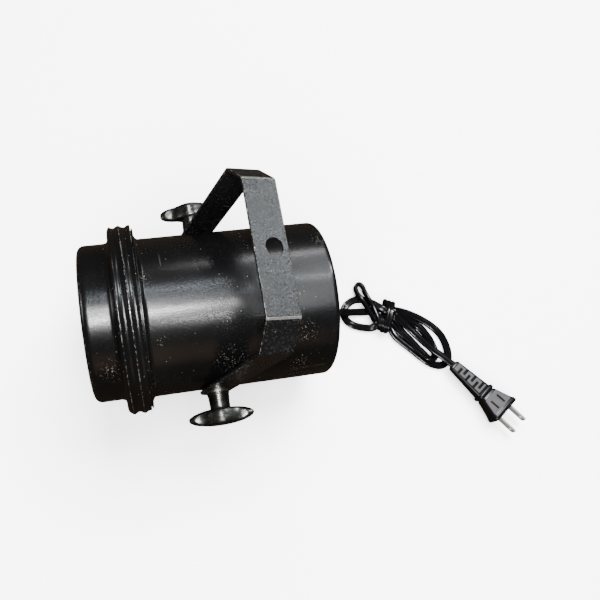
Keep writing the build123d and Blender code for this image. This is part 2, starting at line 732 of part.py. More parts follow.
# The tied hank: a loop and a fold on the left of the tie, a fan of loops on its right
HANK_H = 9.0
TIE_H = 12.0
with BuildPart() as cord_hank:
    with BuildSketch():
        with Locations((116.6, -3.0)):
            Circle(11.0)
        with Locations((133.6, -9.0)):
            Circle(9.5)
        make_hull()
    extrude(amount=HANK_H)
    with BuildSketch():
        with Locations((123.9, 14.5)):
            Circle(6.5)
        with Locations((134.1, -12.0)):
            Circle(6.5)
        make_hull()
    extrude(amount=HANK_H)
    with BuildSketch():
        with Locations((142.6, -10.0)):
            Circle(11.0)
        with Locations((170.6, -29.0), (172.1, -42.0)):
            Circle(13.5)
        make_hull()
    extrude(amount=HANK_H)
    with BuildSketch():
        with Locations(Location((139.6, -9.3, 0), (0, 0, -25))):
            RectangleRounded(9.0, 26.0, 3.0)
    extrude(amount=TIE_H)
finish(cord_hank, "cord_hank")

# The plug lies flat, its blades pointing away from the hank
PLUG_START = Vector(182.2, -56.0, 8.0)
PLUG_TURN = -54.0
plug_dir = Vector(cos(radians(PLUG_TURN)), sin(radians(PLUG_TURN)), 0)
plug_across = Vector(-sin(radians(PLUG_TURN)), cos(radians(PLUG_TURN)), 0)
RELIEF_LENGTH = 30.0
COLLAR_LENGTH = 3.4
PLUG_LENGTH = 18.6
PLUG_W = 24.5
PLUG_H = 15.6
BLADE_GAP = 12.7
BLADE_W = 6.3
BLADE_T = 1.5
BLADE_LENGTH = 15.9


def plug_station(distance):
    """The plane square to the plug's axis: x across, y up."""
    return Plane(origin=PLUG_START + plug_dir * distance, x_dir=plug_across, z_dir=plug_dir)


tail_route = [Vector(170.1, -42.5, 7.4), Vector(176.3, -48.6, 7.6), PLUG_START]
tail_radii = cord_radii(tail_route)
print_radii("tail", tail_route, tail_radii)
with BuildPart() as cord_tail:
    with BuildLine() as tail_path:
        FilletPolyline(*tail_route, radius=tail_radii)
    with BuildSketch(Plane(origin=tail_path.line @ 0, z_dir=tail_path.line % 0)):
        Circle(CORD_R)
    sweep(path=tail_path.line)
finish(cord_tail, "cord_tail")

with BuildPart() as plug_relief:
    with BuildSketch(plug_station(0)):
        RectangleRounded(9.0, 7.0, 2.4)
    with BuildSketch(plug_station(RELIEF_LENGTH)):
        RectangleRounded(13.4, 10.5, 3.0)
    loft(ruled=True)
finish(plug_relief, "plug_relief")

with BuildPart() as plug_body:
    with BuildSketch(plug_station(RELIEF_LENGTH)):
        RectangleRounded(15.6, 13.0, 3.0)
    extrude(amount=COLLAR_LENGTH)
    with BuildSketch(plug_station(RELIEF_LENGTH + COLLAR_LENGTH)):
        RectangleRounded(14.6, 13.0, 3.0)
    with BuildSketch(plug_station(RELIEF_LENGTH + COLLAR_LENGTH + PLUG_LENGTH)):
        RectangleRounded(PLUG_W, PLUG_H, 3.0)
    loft(ruled=True)
finish(plug_body, "plug_body")

with BuildPart() as plug_blades:
    with BuildSketch(plug_station(RELIEF_LENGTH + COLLAR_LENGTH + PLUG_LENGTH)):
        with Locations((-BLADE_GAP / 2, 0), (BLADE_GAP / 2, 0)):
            Rectangle(BLADE_T, BLADE_W)
    extrude(amount=BLADE_LENGTH)
finish(plug_blades, "plug_blades")

# ---------------------------------------------------------------- closing report

cord_names = {"cord_lead", "cord_hank", "cord_tail", "plug_relief", "plug_body", "plug_blades"}
light = Compound(children=[p for p in finished if p.label not in cord_names])
box = light.bounding_box()
print("light", box.min, box.max, "size", box.size)
print("nodes", len(finished), "lie", round(degrees(lie), 3), "pivot", PIVOT)
hole_centre = PIVOT + YOKE_UP * (YOKE_REACH - STRAP_T / 2)
hole_centre += ACROSS * HANGING_HOLE_AT[0] + ACROSS.cross(YOKE_UP) * HANGING_HOLE_AT[1]
print("yoke turn", round(degrees(yoke_turn), 3), "hanging hole", hole_centre)
print("exit", relief_tip, "yoke up", YOKE_UP)
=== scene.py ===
# Looks of a small par can light that lies on its side, with its flat lead tied in a hank behind it.
# The can's axis and pivot come from the frame's joints, and the plug's and the strap's places from
# its mounts. "along" is the distance from the pivot along the can's axis, positive to the rear.
# All lengths are in metres, and a length times MM is given in millimetres.
import json
from math import atan2, copysign, cos, exp, pi, radians, sin, sqrt, tan

import bmesh
import bpy
from mathutils import Matrix, Quaternion, Vector


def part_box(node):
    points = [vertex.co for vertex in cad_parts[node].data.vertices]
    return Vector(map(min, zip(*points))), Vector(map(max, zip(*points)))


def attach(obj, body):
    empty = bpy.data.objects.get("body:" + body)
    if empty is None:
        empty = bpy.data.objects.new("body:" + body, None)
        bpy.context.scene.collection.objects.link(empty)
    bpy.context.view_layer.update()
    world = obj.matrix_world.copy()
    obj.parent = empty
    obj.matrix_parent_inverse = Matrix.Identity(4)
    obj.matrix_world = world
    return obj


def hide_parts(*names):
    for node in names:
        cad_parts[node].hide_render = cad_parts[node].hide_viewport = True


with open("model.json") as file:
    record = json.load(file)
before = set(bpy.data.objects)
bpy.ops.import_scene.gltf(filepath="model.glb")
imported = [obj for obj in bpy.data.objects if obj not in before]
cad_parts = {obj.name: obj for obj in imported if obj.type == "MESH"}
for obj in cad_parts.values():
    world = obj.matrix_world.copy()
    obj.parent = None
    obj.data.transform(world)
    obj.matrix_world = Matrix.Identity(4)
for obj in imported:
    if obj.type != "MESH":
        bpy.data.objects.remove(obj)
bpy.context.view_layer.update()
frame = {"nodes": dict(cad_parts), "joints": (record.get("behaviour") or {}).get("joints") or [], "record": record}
joints = {j["name"]: j for j in frame["joints"]}
mounts = {m["name"]: m for m in frame["record"]["mounts"]}

UP = Vector((0, 0, 1))
PIVOT = Vector(joints["yoke_tilt"]["pos_m"])
ACROSS = Vector(joints["yoke_tilt"]["axis"])
REARWARD = -Vector(joints["bezel_turn"]["axis"]).normalized()
UPWARD = REARWARD.cross(ACROSS)
YOKE_UP = Vector(mounts["hanging_hole"]["axis"])
PLUG_OUT = Vector(mounts["plug"]["axis"])
MM = 0.001

# ---------------------------------------------------------------- camera

CAMERA_PLACE = Vector((-0.0201, -0.1260, 0.4853))
CAMERA_AIM = Vector((0.0233, -0.0159, 0.0600))
CAMERA_ROLL = radians(12.53)
LENS_MM = 38.1
SHIFT = (0.0865, 0.0454)


def make_camera():
    """The camera, a little in front of the light and to its side, and nearly overhead."""
    data = bpy.data.cameras.new("camera")
    data.lens = LENS_MM
    data.sensor_width = 36
    data.shift_x, data.shift_y = SHIFT
    camera = bpy.data.objects.new("camera", data)
    turn = (CAMERA_AIM - CAMERA_PLACE).to_track_quat("-Z", "Y") @ Quaternion((0, 0, 1), CAMERA_ROLL)
    camera.matrix_world = Matrix.Translation(CAMERA_PLACE) @ turn.to_matrix().to_4x4()
    bpy.context.scene.collection.objects.link(camera)
    bpy.context.scene.camera = camera


make_camera()

# ---------------------------------------------------------------- mesh helpers


def axes(origin, x, y, z):
    """The matrix whose local x, y and z point along these row-frame directions."""
    turn = Matrix((x, y, z)).transposed().to_4x4()
    return Matrix.Translation(origin) @ turn


CAN = axes(PIVOT, REARWARD, ACROSS, UPWARD)


def bare_mesh(name, points, faces, marks=None):
    """A closed mesh object with its normals outwards. Marks are numbers kept at its points, by name."""
    mesh = bpy.data.meshes.new(name)
    mesh.from_pydata([tuple(p) for p in points], [], faces)
    for mark, values in (marks or {}).items():
        mesh.attributes.new(mark, "FLOAT", "POINT").data.foreach_set("value", values)
    tidy = bmesh.new()
    tidy.from_mesh(mesh)
    bmesh.ops.remove_doubles(tidy, verts=tidy.verts, dist=1e-7)
    bmesh.ops.recalc_face_normals(tidy, faces=tidy.faces)
    tidy.to_mesh(mesh)
    tidy.free()
    made = bpy.data.objects.new(name, mesh)
    bpy.context.scene.collection.objects.link(made)
    return made


def cut(made, cutters):
    """Takes the cutters out of a piece, and deletes them."""
    for cutter in cutters:
        step = made.modifiers.new("cut", "BOOLEAN")
        step.object = cutter
        step.solver = "EXACT"
    settle(made)
    for cutter in cutters:
        bpy.data.objects.remove(cutter)


def soften(made, width, segments=2, angle=40.0):
    """Rounds a piece's edges."""
    step = made.modifiers.new("edges", "BEVEL")
    step.width = width
    step.segments = segments
    step.limit_method = "ANGLE"
    step.angle_limit = radians(angle)
    settle(made)


def settle(made):
    """Applies a piece's modifiers."""
    bpy.context.view_layer.update()
    shaped = made.evaluated_get(bpy.context.evaluated_depsgraph_get())
    mesh = bpy.data.meshes.new_from_object(shaped)
    made.modifiers.clear()
    made.data = mesh


def dress(made, body, finish, replaces=(), sharp=60.0, weighted=False):
    """Smooth shading and a finish for a piece, and its body, slot and the nodes it stands for."""
    made.data.shade_smooth()
    made.data.set_sharp_from_angle(angle=radians(sharp))
    if weighted:
        made.modifiers.new("normals", "WEIGHTED_NORMAL").keep_sharp = True
    made.data.materials.clear()
    made.data.materials.append(finish)
    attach(made, body)
    if replaces:
        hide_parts(*replaces)
    return made


def ring_faces(rings, count, closed_rings=False):
    """Quads between rings of count points, and an end face at each end unless they close up."""
    faces = []
    for i in range(rings if closed_rings else rings - 1):
        a, b = i * count, (i + 1) % rings * count
        for k in range(count):
            n = (k + 1) % count
            faces.append((a + k, a + n, b + n, b + k))
    if not closed_rings:
        faces.append(tuple(range(count)))
        faces.append(tuple(range((rings - 1) * count, rings * count)))
    return faces


def rounded(points, radii, steps=6):
    """An open flat outline, with each inner corner rounded to its own radius."""
    points = [Vector(p) for p in points]
    made = [points[0]]
    for before, corner, after, radius in zip(points, points[1:], points[2:], radii):
        back, on = (before - corner).normalized(), (after - corner).normalized()
        half = back.angle(on) / 2
        middle = corner + (back + on).normalized() * (radius / sin(half))
        start = corner + back * (radius / tan(half)) - middle
        end = corner + on * (radius / tan(half)) - middle
        turn = atan2(start.cross(end), start.dot(end))
        for k in range(steps + 1):
            made.append(middle + Matrix.Rotation(turn * k / steps, 2) @ start)
    made.append(points[-1])
    return made


def spaced(points, longest):
    """The outline with its long runs divided."""
    made = [points[0]]
    for a, b in zip(points, points[1:]):
        parts = int((b - a).length / longest) + 1
        made += [a.lerp(b, (k + 1) / parts) for k in range(parts)]
    return made


def rounded_box(half_w, half_h, radius, steps=4):
    """A rectangle's outline with round corners, as (x, y) points."""
    made = []
    for corner, (sx, sy) in enumerate(((1, 1), (-1, 1), (-1, -1), (1, -1))):
        for k in range(steps + 1):
            angle = radians(90) * (corner + k / steps)
            x = sx * (half_w - radius) + radius * cos(angle)
            y = sy * (half_h - radius) + radius * sin(angle)
            made.append((x, y))
    return made


def prism(name, place, outline, low, high):
    """A flat outline, made solid from low to high along the place's z. Each may be a function of x."""
    low_at = low if callable(low) else lambda x: low
    high_at = high if callable(high) else lambda x: high
    points = [place @ Vector((x, y, low_at(x))) for x, y in outline]
    points += [place @ Vector((x, y, high_at(x))) for x, y in outline]
    return bare_mesh(name, points, ring_faces(2, len(outline)))


def rod(place, radius, low, high, count=48):
    """A round cutter along the place's z."""
    turns = [2 * pi * k / count for k in range(count)]
    return prism("rod", place, [(radius * cos(t), radius * sin(t)) for t in turns], low, high)


# ---------------------------------------------------------------- finishes


class Finish:
    """A procedural material, built node by node. Its patterns stay in place on the part."""

    def __init__(self, name, colour, roughness, metallic=0.0, **sockets):
        self.material = bpy.data.materials.new(name)
        self.material.use_nodes = True
        self.tree = self.material.node_tree
        self.shader = self.tree.nodes["Principled BSDF"]
        self.shader.inputs["Base Color"].default_value = (*colour, 1)
        self.shader.inputs["Roughness"].default_value = roughness
        self.shader.inputs["Metallic"].default_value = metallic
        for socket, value in sockets.items():
            self.shader.inputs[socket.replace("_", " ")].default_value = value
        self.place = self.node("ShaderNodeTexCoord").outputs["Object"]
        self.height = None

    def put(self, value, socket):
        """Links an output to a socket, or sets a number, vector or colour."""
        if isinstance(value, bpy.types.NodeSocket):
            self.tree.links.new(value, socket)
        else:
            socket.default_value = value

    def node(self, kind, inputs=(), **settings):
        """A new node, its inputs given by index or name."""
        made = self.tree.nodes.new(kind)
        for setting, value in settings.items():
            setattr(made, setting, value)
        for socket, value in dict(inputs).items():
            self.put(value, made.inputs[socket])
        return made

    def scaled(self, x, y, z):
        """The place, squeezed, so that a pattern comes out stretched."""
        made = self.node("ShaderNodeVectorMath", {0: self.place, 1: (x, y, z)}, operation="MULTIPLY")
        return made.outputs[0]

    def canwise(self, x, y, z):
        """The same, along the can's axis, across it and up from it, from the pivot."""
        turn = CAN.inverted()
        made = []
        for row, scale in zip(turn.row[:3], (x, y, z)):
            inputs = {0: self.place, 1: row.to_3d() * scale}
            dot = self.node("ShaderNodeVectorMath", inputs, operation="DOT_PRODUCT")
            made.append(self.sum(dot.outputs["Value"], row[3] * scale))
        return self.node("ShaderNodeCombineXYZ", {0: made[0], 1: made[1], 2: made[2]}).outputs[0]

    def noise(self, scale, detail=2.0, rough=0.5, place=None):
        """A cloudy pattern, about 0.5 on average."""
        inputs = {"Vector": place or self.place, "Scale": scale, "Detail": detail, "Roughness": rough}
        return self.node("ShaderNodeTexNoise", inputs).outputs["Fac"]

    def dots(self, scale, size, share, place=None):
        """Round specks in a share of the cells of a scattered pattern."""
        cells = self.node("ShaderNodeTexVoronoi", {"Vector": place or self.place, "Scale": scale})
        chosen = self.node("ShaderNodeSeparateColor", {"Color": cells.outputs["Color"]})
        return self.product(
            self.step(cells.outputs["Distance"], size, size * 0.6),
            self.step(chosen.outputs[0], 1 - share, 1 - share + 0.02),
        )

    def step(self, value, low, high):
        """0 at low and 1 at high, smooth between them."""
        inputs = {"Value": value, "From Min": low, "From Max": high}
        return self.node("ShaderNodeMapRange", inputs, interpolation_type="SMOOTHSTEP").outputs[0]

    def maths(self, operation, a, b):
        """A sum or other result of two numbers."""
        return self.node("ShaderNodeMath", {0: a, 1: b}, operation=operation).outputs[0]

    def product(self, a, b):
        return self.maths("MULTIPLY", a, b)

    def sum(self, a, b):
        return self.maths("ADD", a, b)

    def most(self, a, b):
        return self.maths("MAXIMUM", a, b)

    def near(self, point, radius):
        """1 at a point of the row frame, and 0 beyond the radius."""
        far = self.node("ShaderNodeVectorMath", {0: self.place, 1: point}, operation="DISTANCE")
        return self.step(far.outputs["Value"], radius, 0.0)

    def mark(self, name):
        """The numbers kept at a mesh's points."""
        return self.node("ShaderNodeAttribute", attribute_name=name).outputs["Fac"]

    def mix(self, share, a, b):
        """A colour between two."""
        made = self.node("ShaderNodeMix", data_type="RGBA")
        self.put(share, made.inputs[0])
        for value, socket in ((a, made.inputs[6]), (b, made.inputs[7])):
            self.put((*value, 1) if isinstance(value, tuple) else value, socket)
        return made.outputs[2]

    def range(self, share, a, b):
        """A number between two."""
        return self.node("ShaderNodeMapRange", {"Value": share, "To Min": a, "To Max": b}).outputs[0]

    def relief(self, height, depth, strength=1.0):
        """Adds bumps of this depth."""
        inputs = {"Height": height, "Distance": depth, "Strength": strength}
        if self.height:
            inputs["Normal"] = self.height
        self.height = self.node("ShaderNodeBump", inputs).outputs[0]

    def done(self, colour=None, roughness=None, metallic=None):
        """Links what varies over the surface, and gives the material."""
        for value, socket in ((colour, "Base Color"), (roughness, "Roughness"), (metallic, "Metallic")):
            if value is not None:
                self.put(value, self.shader.inputs[socket])
        if self.height:
            self.put(self.height, self.shader.inputs["Normal"])
        return self.material


DUST = (0.30, 0.27, 0.22)
BARE_STEEL = (0.50, 0.48, 0.45)
ENAMEL = (0.0032, 0.0033, 0.0035)
# Where dust and small chips gather on the can, each with its reach
DUSTY_SPOTS = [
    ((0.0066, -0.0431, 0.0919), 0.016),
    ((0.0573, -0.0343, 0.0969), 0.011),
    ((0.0065, -0.0218, 0.1088), 0.0045),
    ((0.0510, -0.0502, 0.0755), 0.012),
    ((-0.0353, -0.0294, 0.1081), 0.006),
    ((-0.0415, 0.0082, 0.1167), 0.008),
    ((-0.0669, -0.0420, 0.0994), 0.013),
    ((0.0748, 0.0265, 0.1008), 0.009),
    ((-0.0500, -0.0500, 0.0850), 0.012),
]


def dusty_enamel(name, worn=None):
    """Black enamel with a fine grain, smudges, dust and scratches, and bare steel where it is worn."""
    made = Finish(name, ENAMEL, 0.28)
    patches = made.step(made.noise(45, 3), 0.35, 0.75)
    dusty = made.product(patches, 0.10)
    for point, reach in DUSTY_SPOTS:
        dusty = made.most(dusty, made.near(point, reach))
    fine = made.dots(950, 0.30, 0.55)
    coarse = made.dots(430, 0.22, 0.30)
    crumbs = made.dots(700, 0.26, 0.035)
    specks = made.most(made.product(made.most(fine, coarse), dusty), made.product(crumbs, 0.8))
    hairs = made.noise(260, 1, place=made.canwise(1.0, 0.07, 0.07))
    long_hairs = made.noise(220, 1, place=made.canwise(0.06, 1.0, 1.0))
    scratched = made.step(made.noise(30, 2), 0.50, 0.72)
    lines = made.most(made.step(hairs, 0.735, 0.76), made.step(long_hairs, 0.745, 0.765))
    scratches = made.product(lines, scratched)
    film = made.product(made.step(made.noise(18, 4), 0.40, 0.80), 0.015)
    cover = made.most(made.product(specks, 0.75), made.most(made.product(scratches, 0.30), film))
    colour = made.mix(cover, ENAMEL, DUST)
    smudges = made.range(made.noise(32, 4, 0.6), 0.14, 0.25)
    dull = made.sum(smudges, made.product(made.noise(900, 1), 0.10))
    dull = made.most(dull, made.range(specks, 0.0, 0.75))
    made.relief(made.noise(760, 2, 0.6), 0.00014, 0.45)
    made.relief(made.noise(55, 2), 0.0009, 0.10)
    made.relief(specks, 0.00010, 0.15)
    if worn:
        bare = worn(made)
        rubbed = made.mix(bare, colour, BARE_STEEL)
        return made.done(rubbed, made.most(dull, made.range(bare, 0.0, 0.38)), made.product(bare, 0.9))
    return made.done(colour, dull)


def worn_crests(made):
    """Bare steel in broken lines along the crests of the rolled thread, and on the bezel's edges."""
    crest = made.mark("crest")
    along = made.noise(150, 3, 0.7)
    fleck = made.noise(900, 2, 0.6)
    patchy = made.sum(made.product(fleck, 0.7), made.product(along, 0.5))
    line = made.product(made.step(crest, 0.955, 0.995), made.step(patchy, 0.60, 0.70))
    edge = made.product(made.mark("edge"), made.step(made.noise(520, 3, 0.7), 0.60, 0.66))
    return made.most(made.product(line, 0.7), made.product(edge, 0.6))


def yoke_enamel():
    """Semi-matt black paint, speckled, with bare steel along the strap's edges and bends."""
    base = (0.006, 0.0064, 0.0068)
    made = Finish("yoke_enamel", base, 0.42)
    speckle = made.step(made.noise(760, 2, 0.7), 0.52, 0.70)
    cloud = made.step(made.noise(90, 3), 0.30, 0.75)
    dust = made.product(made.dots(800, 0.28, 0.20), cloud)
    hairs = made.step(made.noise(240, 1, place=made.scaled(1.0, 0.05, 1.0)), 0.75, 0.77)
    colour = made.mix(made.product(speckle, 0.30), base, (0.10, 0.110, 0.118))
    colour = made.mix(made.most(made.product(dust, 0.6), made.product(hairs, 0.25)), colour, DUST)
    flaking = made.sum(made.noise(420, 3, 0.7), made.product(made.mark("bend"), 0.25))
    chips = made.step(flaking, 0.54, 0.62)
    bare = made.product(made.step(made.most(made.mark("edge"), made.mark("bend")), 0.55, 0.95), chips)
    made.relief(made.noise(760, 3, 0.7), 0.00038, 0.8)
    made.relief(made.noise(70, 2), 0.0008, 0.12)
    rough = made.most(made.range(made.noise(60, 3), 0.24, 0.30), made.range(dust, 0.0, 0.8))
    return made.done(made.mix(bare, colour, (0.62, 0.61, 0.58)), rough, made.product(bare, 0.85))


def dark_casting():
    """Cast wing knobs with a dark nickel plating, polished by handling."""
    made = Finish("knob_metal", (0.085, 0.087, 0.080), 0.24, 1.0)
    grime = made.step(made.noise(160, 4, 0.65), 0.45, 0.70)
    rub = made.step(made.noise(420, 3, 0.6), 0.60, 0.72)
    plating = made.mix(grime, (0.115, 0.118, 0.108), (0.045, 0.044, 0.038))
    colour = made.mix(made.product(rub, 0.55), plating, (0.30, 0.30, 0.28))
    made.relief(made.noise(190, 2), 0.0004, 0.12)
    made.relief(made.noise(1300, 2), 0.0001, 0.25)
    return made.done(colour, made.range(grime, 0.24, 0.42))


def plated(name, colour, roughness, tarnish, brush=0.35, metallic=1.0):
    """Plated or bright metal with fine brushing and some tarnish."""
    made = Finish(name, colour, roughness, metallic)
    stain = made.step(made.noise(120, 4, 0.6), 0.45, 0.75)
    made.relief(made.noise(900, 2, place=made.scaled(1.0, 0.15, 1.0)), 0.00008, brush)
    shade = made.mix(made.product(stain, 0.6), colour, tarnish)
    return made.done(shade, made.range(stain, roughness, roughness + 0.22))


def moulded(name, colour, roughness, grain=0.20, dust=0.25):
    """Moulded plastic or rubber with a fine grain, a little dust and rubbed patches."""
    made = Finish(name, colour, roughness)
    cloud = made.step(made.noise(70, 3), 0.40, 0.75)
    specks = made.product(made.dots(1300, 0.22, 0.25), cloud)
    made.relief(made.noise(1700, 2), 0.00006, grain)
    made.relief(made.noise(150, 2), 0.0004, 0.10)
    rubbed = tuple(c * 1.7 + 0.004 for c in colour)
    shade = made.mix(made.product(cloud, 0.3), colour, rubbed)
    dusted = made.mix(made.product(specks, dust), shade, DUST)
    return made.done(dusted, made.range(made.noise(90, 3), roughness - 0.06, roughness + 0.08))


def lens_glass():
    """Clear pressed glass with a pebbled inside."""
    made = Finish("lens_glass", (0.95, 0.98, 0.97), 0.04, Transmission_Weight=1.0, IOR=1.5)
    pebbles = made.node("ShaderNodeTexVoronoi", {"Vector": made.place, "Scale": 330})
    made.relief(pebbles.outputs["Distance"], 0.0008, 0.5)
    return made.done(roughness=made.range(made.step(made.noise(60, 4), 0.5, 0.75), 0.02, 0.18))


def mirror():
    """Aluminised glass, slightly hazy."""
    made = Finish("reflector_mirror", (0.86, 0.87, 0.88), 0.06, 1.0)
    haze = made.step(made.noise(90, 4), 0.45, 0.80)
    made.relief(made.noise(140, 1), 0.0003, 0.12)
    shade = made.mix(made.product(haze, 0.3), (0.88, 0.88, 0.89), (0.62, 0.58, 0.50))
    return made.done(shade, made.range(haze, 0.04, 0.16))


def laminated():
    """A stack of varnished steel sheets."""
    made = Finish("core_steel", (0.10, 0.085, 0.07), 0.5, 0.6)
    inputs = {"Vector": made.canwise(0, 0, 1), "Scale": 600}
    layers = made.node("ShaderNodeTexWave", inputs, bands_direction="Z")
    made.relief(layers.outputs["Fac"], 0.0003, 0.8)
    rust = made.step(made.noise(140, 4, 0.7), 0.55, 0.72)
    shade = made.mix(layers.outputs["Fac"], (0.045, 0.04, 0.036), (0.15, 0.14, 0.125))
    rusty = made.mix(made.product(rust, 0.6), shade, (0.20, 0.08, 0.03))
    return made.done(rusty, made.range(rust, 0.38, 0.75))


def wound_copper():
    """Layers of enamelled wire, wound round the transformer's leg, with painted shade in the grooves between the
    turns.
    """
    made = Finish("copper_wire", (0.42, 0.13, 0.035), 0.3, 0.85)
    inputs = {"Vector": made.canwise(1, 0, 0), "Scale": 420}
    turns = made.node("ShaderNodeTexWave", inputs, bands_direction="X")
    made.relief(turns.outputs["Fac"], 0.0004, 0.9)
    # Painted shade: the colour darkens in the grooves between the wire's turns.
    shade = made.mix(turns.outputs["Fac"], (0.12, 0.03, 0.01), (0.55, 0.19, 0.05))
    stained = made.mix(made.step(made.noise(200, 3), 0.55, 0.8), shade, (0.25, 0.10, 0.04))
    return made.done(stained, made.range(made.noise(300, 2), 0.22, 0.45))


FINISHES = {
    "can_enamel": dusty_enamel("can_enamel"),
    "yoke_enamel": yoke_enamel(),
    "knob_metal": dark_casting(),
    "zinc_steel": plated("zinc_steel", (0.42, 0.41, 0.37), 0.32, (0.20, 0.19, 0.17)),
    "spring_steel": plated("spring_steel", (0.22, 0.22, 0.23), 0.28, (0.10, 0.08, 0.06)),
    "brass": plated("brass", (0.72, 0.48, 0.18), 0.24, (0.30, 0.18, 0.07)),
    "tungsten": plated("tungsten", (0.28, 0.28, 0.29), 0.35, (0.12, 0.12, 0.13), 0.9),
    # The blades' near-white, mostly diffuse colour is a painted reflection. It stands in for the bright
    # surroundings that the nickel blades mirror.
    "blade_nickel": plated("blade_nickel", (0.96, 0.95, 0.92), 0.45, (0.85, 0.82, 0.74), metallic=0.35),
    "lens_glass": lens_glass(),
    "reflector_mirror": mirror(),
    "core_steel": laminated(),
    "copper_wire": wound_copper(),
    "bobbin_plastic": moulded("bobbin_plastic", (0.62, 0.59, 0.50), 0.42),
    "lead_insulation": moulded("lead_insulation", (0.025, 0.025, 0.025), 0.48),
    "wire_nut_plastic": moulded("wire_nut_plastic", (0.62, 0.30, 0.04), 0.34),
    "gasket_rubber": moulded("gasket_rubber", (0.022, 0.021, 0.020), 0.62),
    "cord_pvc": moulded("cord_pvc", (0.005, 0.005, 0.006), 0.15, 0.05, 0.04),
    "plug_pvc": moulded("plug_pvc", (0.008, 0.008, 0.009), 0.30, 0.35, 0.10),
    # The raised bars and panels are the plug's black PVC painted light grey. This painted highlight stands in for
    # the sheen their flat tops catch.
    "plug_painted_sheen": moulded("plug_painted_sheen", (0.19, 0.19, 0.20), 0.32, 0.6, 0.35),
}

# ---------------------------------------------------------------- the lead

CORD_T = 0.003
LOBE_R = CORD_T / 2
LOBE_TURN = 292  # degrees of each lobe's circle that show, from groove to groove
FLAT = 0.0
ON_EDGE = radians(90)
LOWEST = 0.00005  # nothing of the cord's mesh lies lower
ON_FLOOR = 0.0017  # the height of the cord's middle line where it lies flat
UNDER_WRAP = 0.0002  # the wrap's least height over the floor
TIE_PLACE = Vector((0.1392, -0.0092, 0))
TIE_ALONG = Vector((0.905, -0.426, 0)).normalized()
TIE_ACROSS = Vector((-0.426, -0.905, 0)).normalized()


def tied(along, across, height):
    """A point of the bundle where it is tied."""
    return TIE_PLACE + TIE_ALONG * along + TIE_ACROSS * across + UP * height


def spot(x, y, z=ON_FLOOR):
    """A point of the row frame, for a flat cord that lies on the floor unless z is given."""
    return Vector((x, y, z))


# Out of the strain relief, down to the floor and into the bundle
LEAD = [
    spot(0.08857, 0.0, 0.01444), spot(0.0946, -0.0003, 0.0132), spot(0.1006, -0.0012, 0.0099),
    spot(0.1068, -0.0015, 0.0059), spot(0.1131, -0.0013, 0.0036), spot(0.1191, -0.0017, 0.0020),
    spot(0.1251, -0.0024), spot(0.1311, -0.0024, 0.0022),
]
# The wide loop to the right of the tie, out round the top and back along the bottom
OUTER_LOOP = [
    tied(-0.0050, -0.0066, 0.0045), tied(0.0050, -0.0072, 0.0042), spot(0.1506, -0.0050, 0.0022),
    spot(0.1576, -0.0078), spot(0.1666, -0.0135), spot(0.1761, -0.0218), spot(0.1816, -0.0300),
    spot(0.1836, -0.0385), spot(0.1838, -0.0455), spot(0.1821, -0.0515), spot(0.1756, -0.0552),
    spot(0.1676, -0.0522), spot(0.1606, -0.0450), spot(0.1554, -0.0386), spot(0.1491, -0.0316),
    spot(0.1436, -0.0254, 0.0022),
]
# The round loop to the left of the tie
LEFT_LOOP = [
    tied(0.0055, 0.0070, 0.0042), tied(-0.0045, 0.0078, 0.0040), spot(0.1276, -0.0166, 0.0020),
    spot(0.1216, -0.0152), spot(0.1154, -0.0132), spot(0.1098, -0.0096), spot(0.1070, -0.0046),
    spot(0.1072, 0.0008), spot(0.1098, 0.0050), spot(0.1144, 0.0079), spot(0.1194, 0.0092),
    spot(0.1242, 0.0084), spot(0.1291, 0.0058, 0.0022), spot(0.1331, 0.0020, 0.0048),
]
# The narrower loop inside the wide one
INNER_LOOP = [
    tied(-0.0030, -0.0040, 0.0076), tied(0.0050, -0.0044, 0.0072), spot(0.1516, -0.0110, 0.0032),
    spot(0.1588, -0.0154, 0.0018), spot(0.1660, -0.0212), spot(0.1704, -0.0290),
    spot(0.1726, -0.0365, 0.0018), spot(0.1732, -0.0432, 0.0020), spot(0.1714, -0.0490, 0.0028),
    spot(0.1666, -0.0485, 0.0040), spot(0.1631, -0.0440, 0.0040), spot(0.1591, -0.0384, 0.0038),
    spot(0.1546, -0.0302, 0.0036), spot(0.1486, -0.0218, 0.0038),
]
BEFORE_FOLD = [tied(0.0055, -0.0006, 0.0046), tied(-0.0045, 0.0030, 0.0048)]
# The narrow fold that stands on edge, over the lead and the round loop
FOLD = [
    spot(0.1298, -0.0120, 0.0058), spot(0.1279, -0.0070, 0.0062), spot(0.1258, 0.0000, 0.0062),
    spot(0.1230, 0.0070, 0.0062), spot(0.1206, 0.0132, 0.0044), spot(0.1202, 0.0190, 0.0034),
    spot(0.1234, 0.0218, 0.0032), spot(0.1266, 0.0194, 0.0034), spot(0.1268, 0.0140, 0.0046),
    spot(0.1286, 0.0066, 0.0062), spot(0.1308, -0.0012, 0.0064), spot(0.1326, -0.0080, 0.0080),
]
# The turns round the bundle: their half width, half height and middle height, their angles in
# degrees, and how far along the bundle they wander and out of it they grow in a turn
WRAP_HALF = 0.0113
WRAP_RISE = 0.0046
WRAP_MIDDLE = 0.0061
WRAP_FROM = 60
WRAP_STEP = 30
WRAP_POINTS = 21
WRAP_ALONG = [-0.0030, -0.0010, 0.0012, 0.0022, 0.0006, -0.0024]
WRAP_GROWS = 0.0011
# Off the tie and over the loops to the plug
PLUG_RUN = [
    spot(0.1438, -0.0080, 0.0118), spot(0.1480, -0.0138, 0.0096), spot(0.1548, -0.0218, 0.0074),
    spot(0.1618, -0.0312, 0.0066), spot(0.1701, -0.0425, 0.0074), spot(0.1763, -0.0486, 0.0076),
    spot(0.1822, -0.0560, 0.0080), spot(0.1846, -0.0593, 0.0080),
]


def rolled(points, rolls):
    """Each point with the way the cord's flat side faces: up, or turned to its left by its roll."""
    facing = []
    for i, roll in enumerate(rolls):
        onward = points[min(i + 1, len(points) - 1)] - points[max(i - 1, 0)]
        facing.append(UP * cos(roll) + UP.cross(onward).normalized() * sin(roll))
    return list(zip(points, facing))


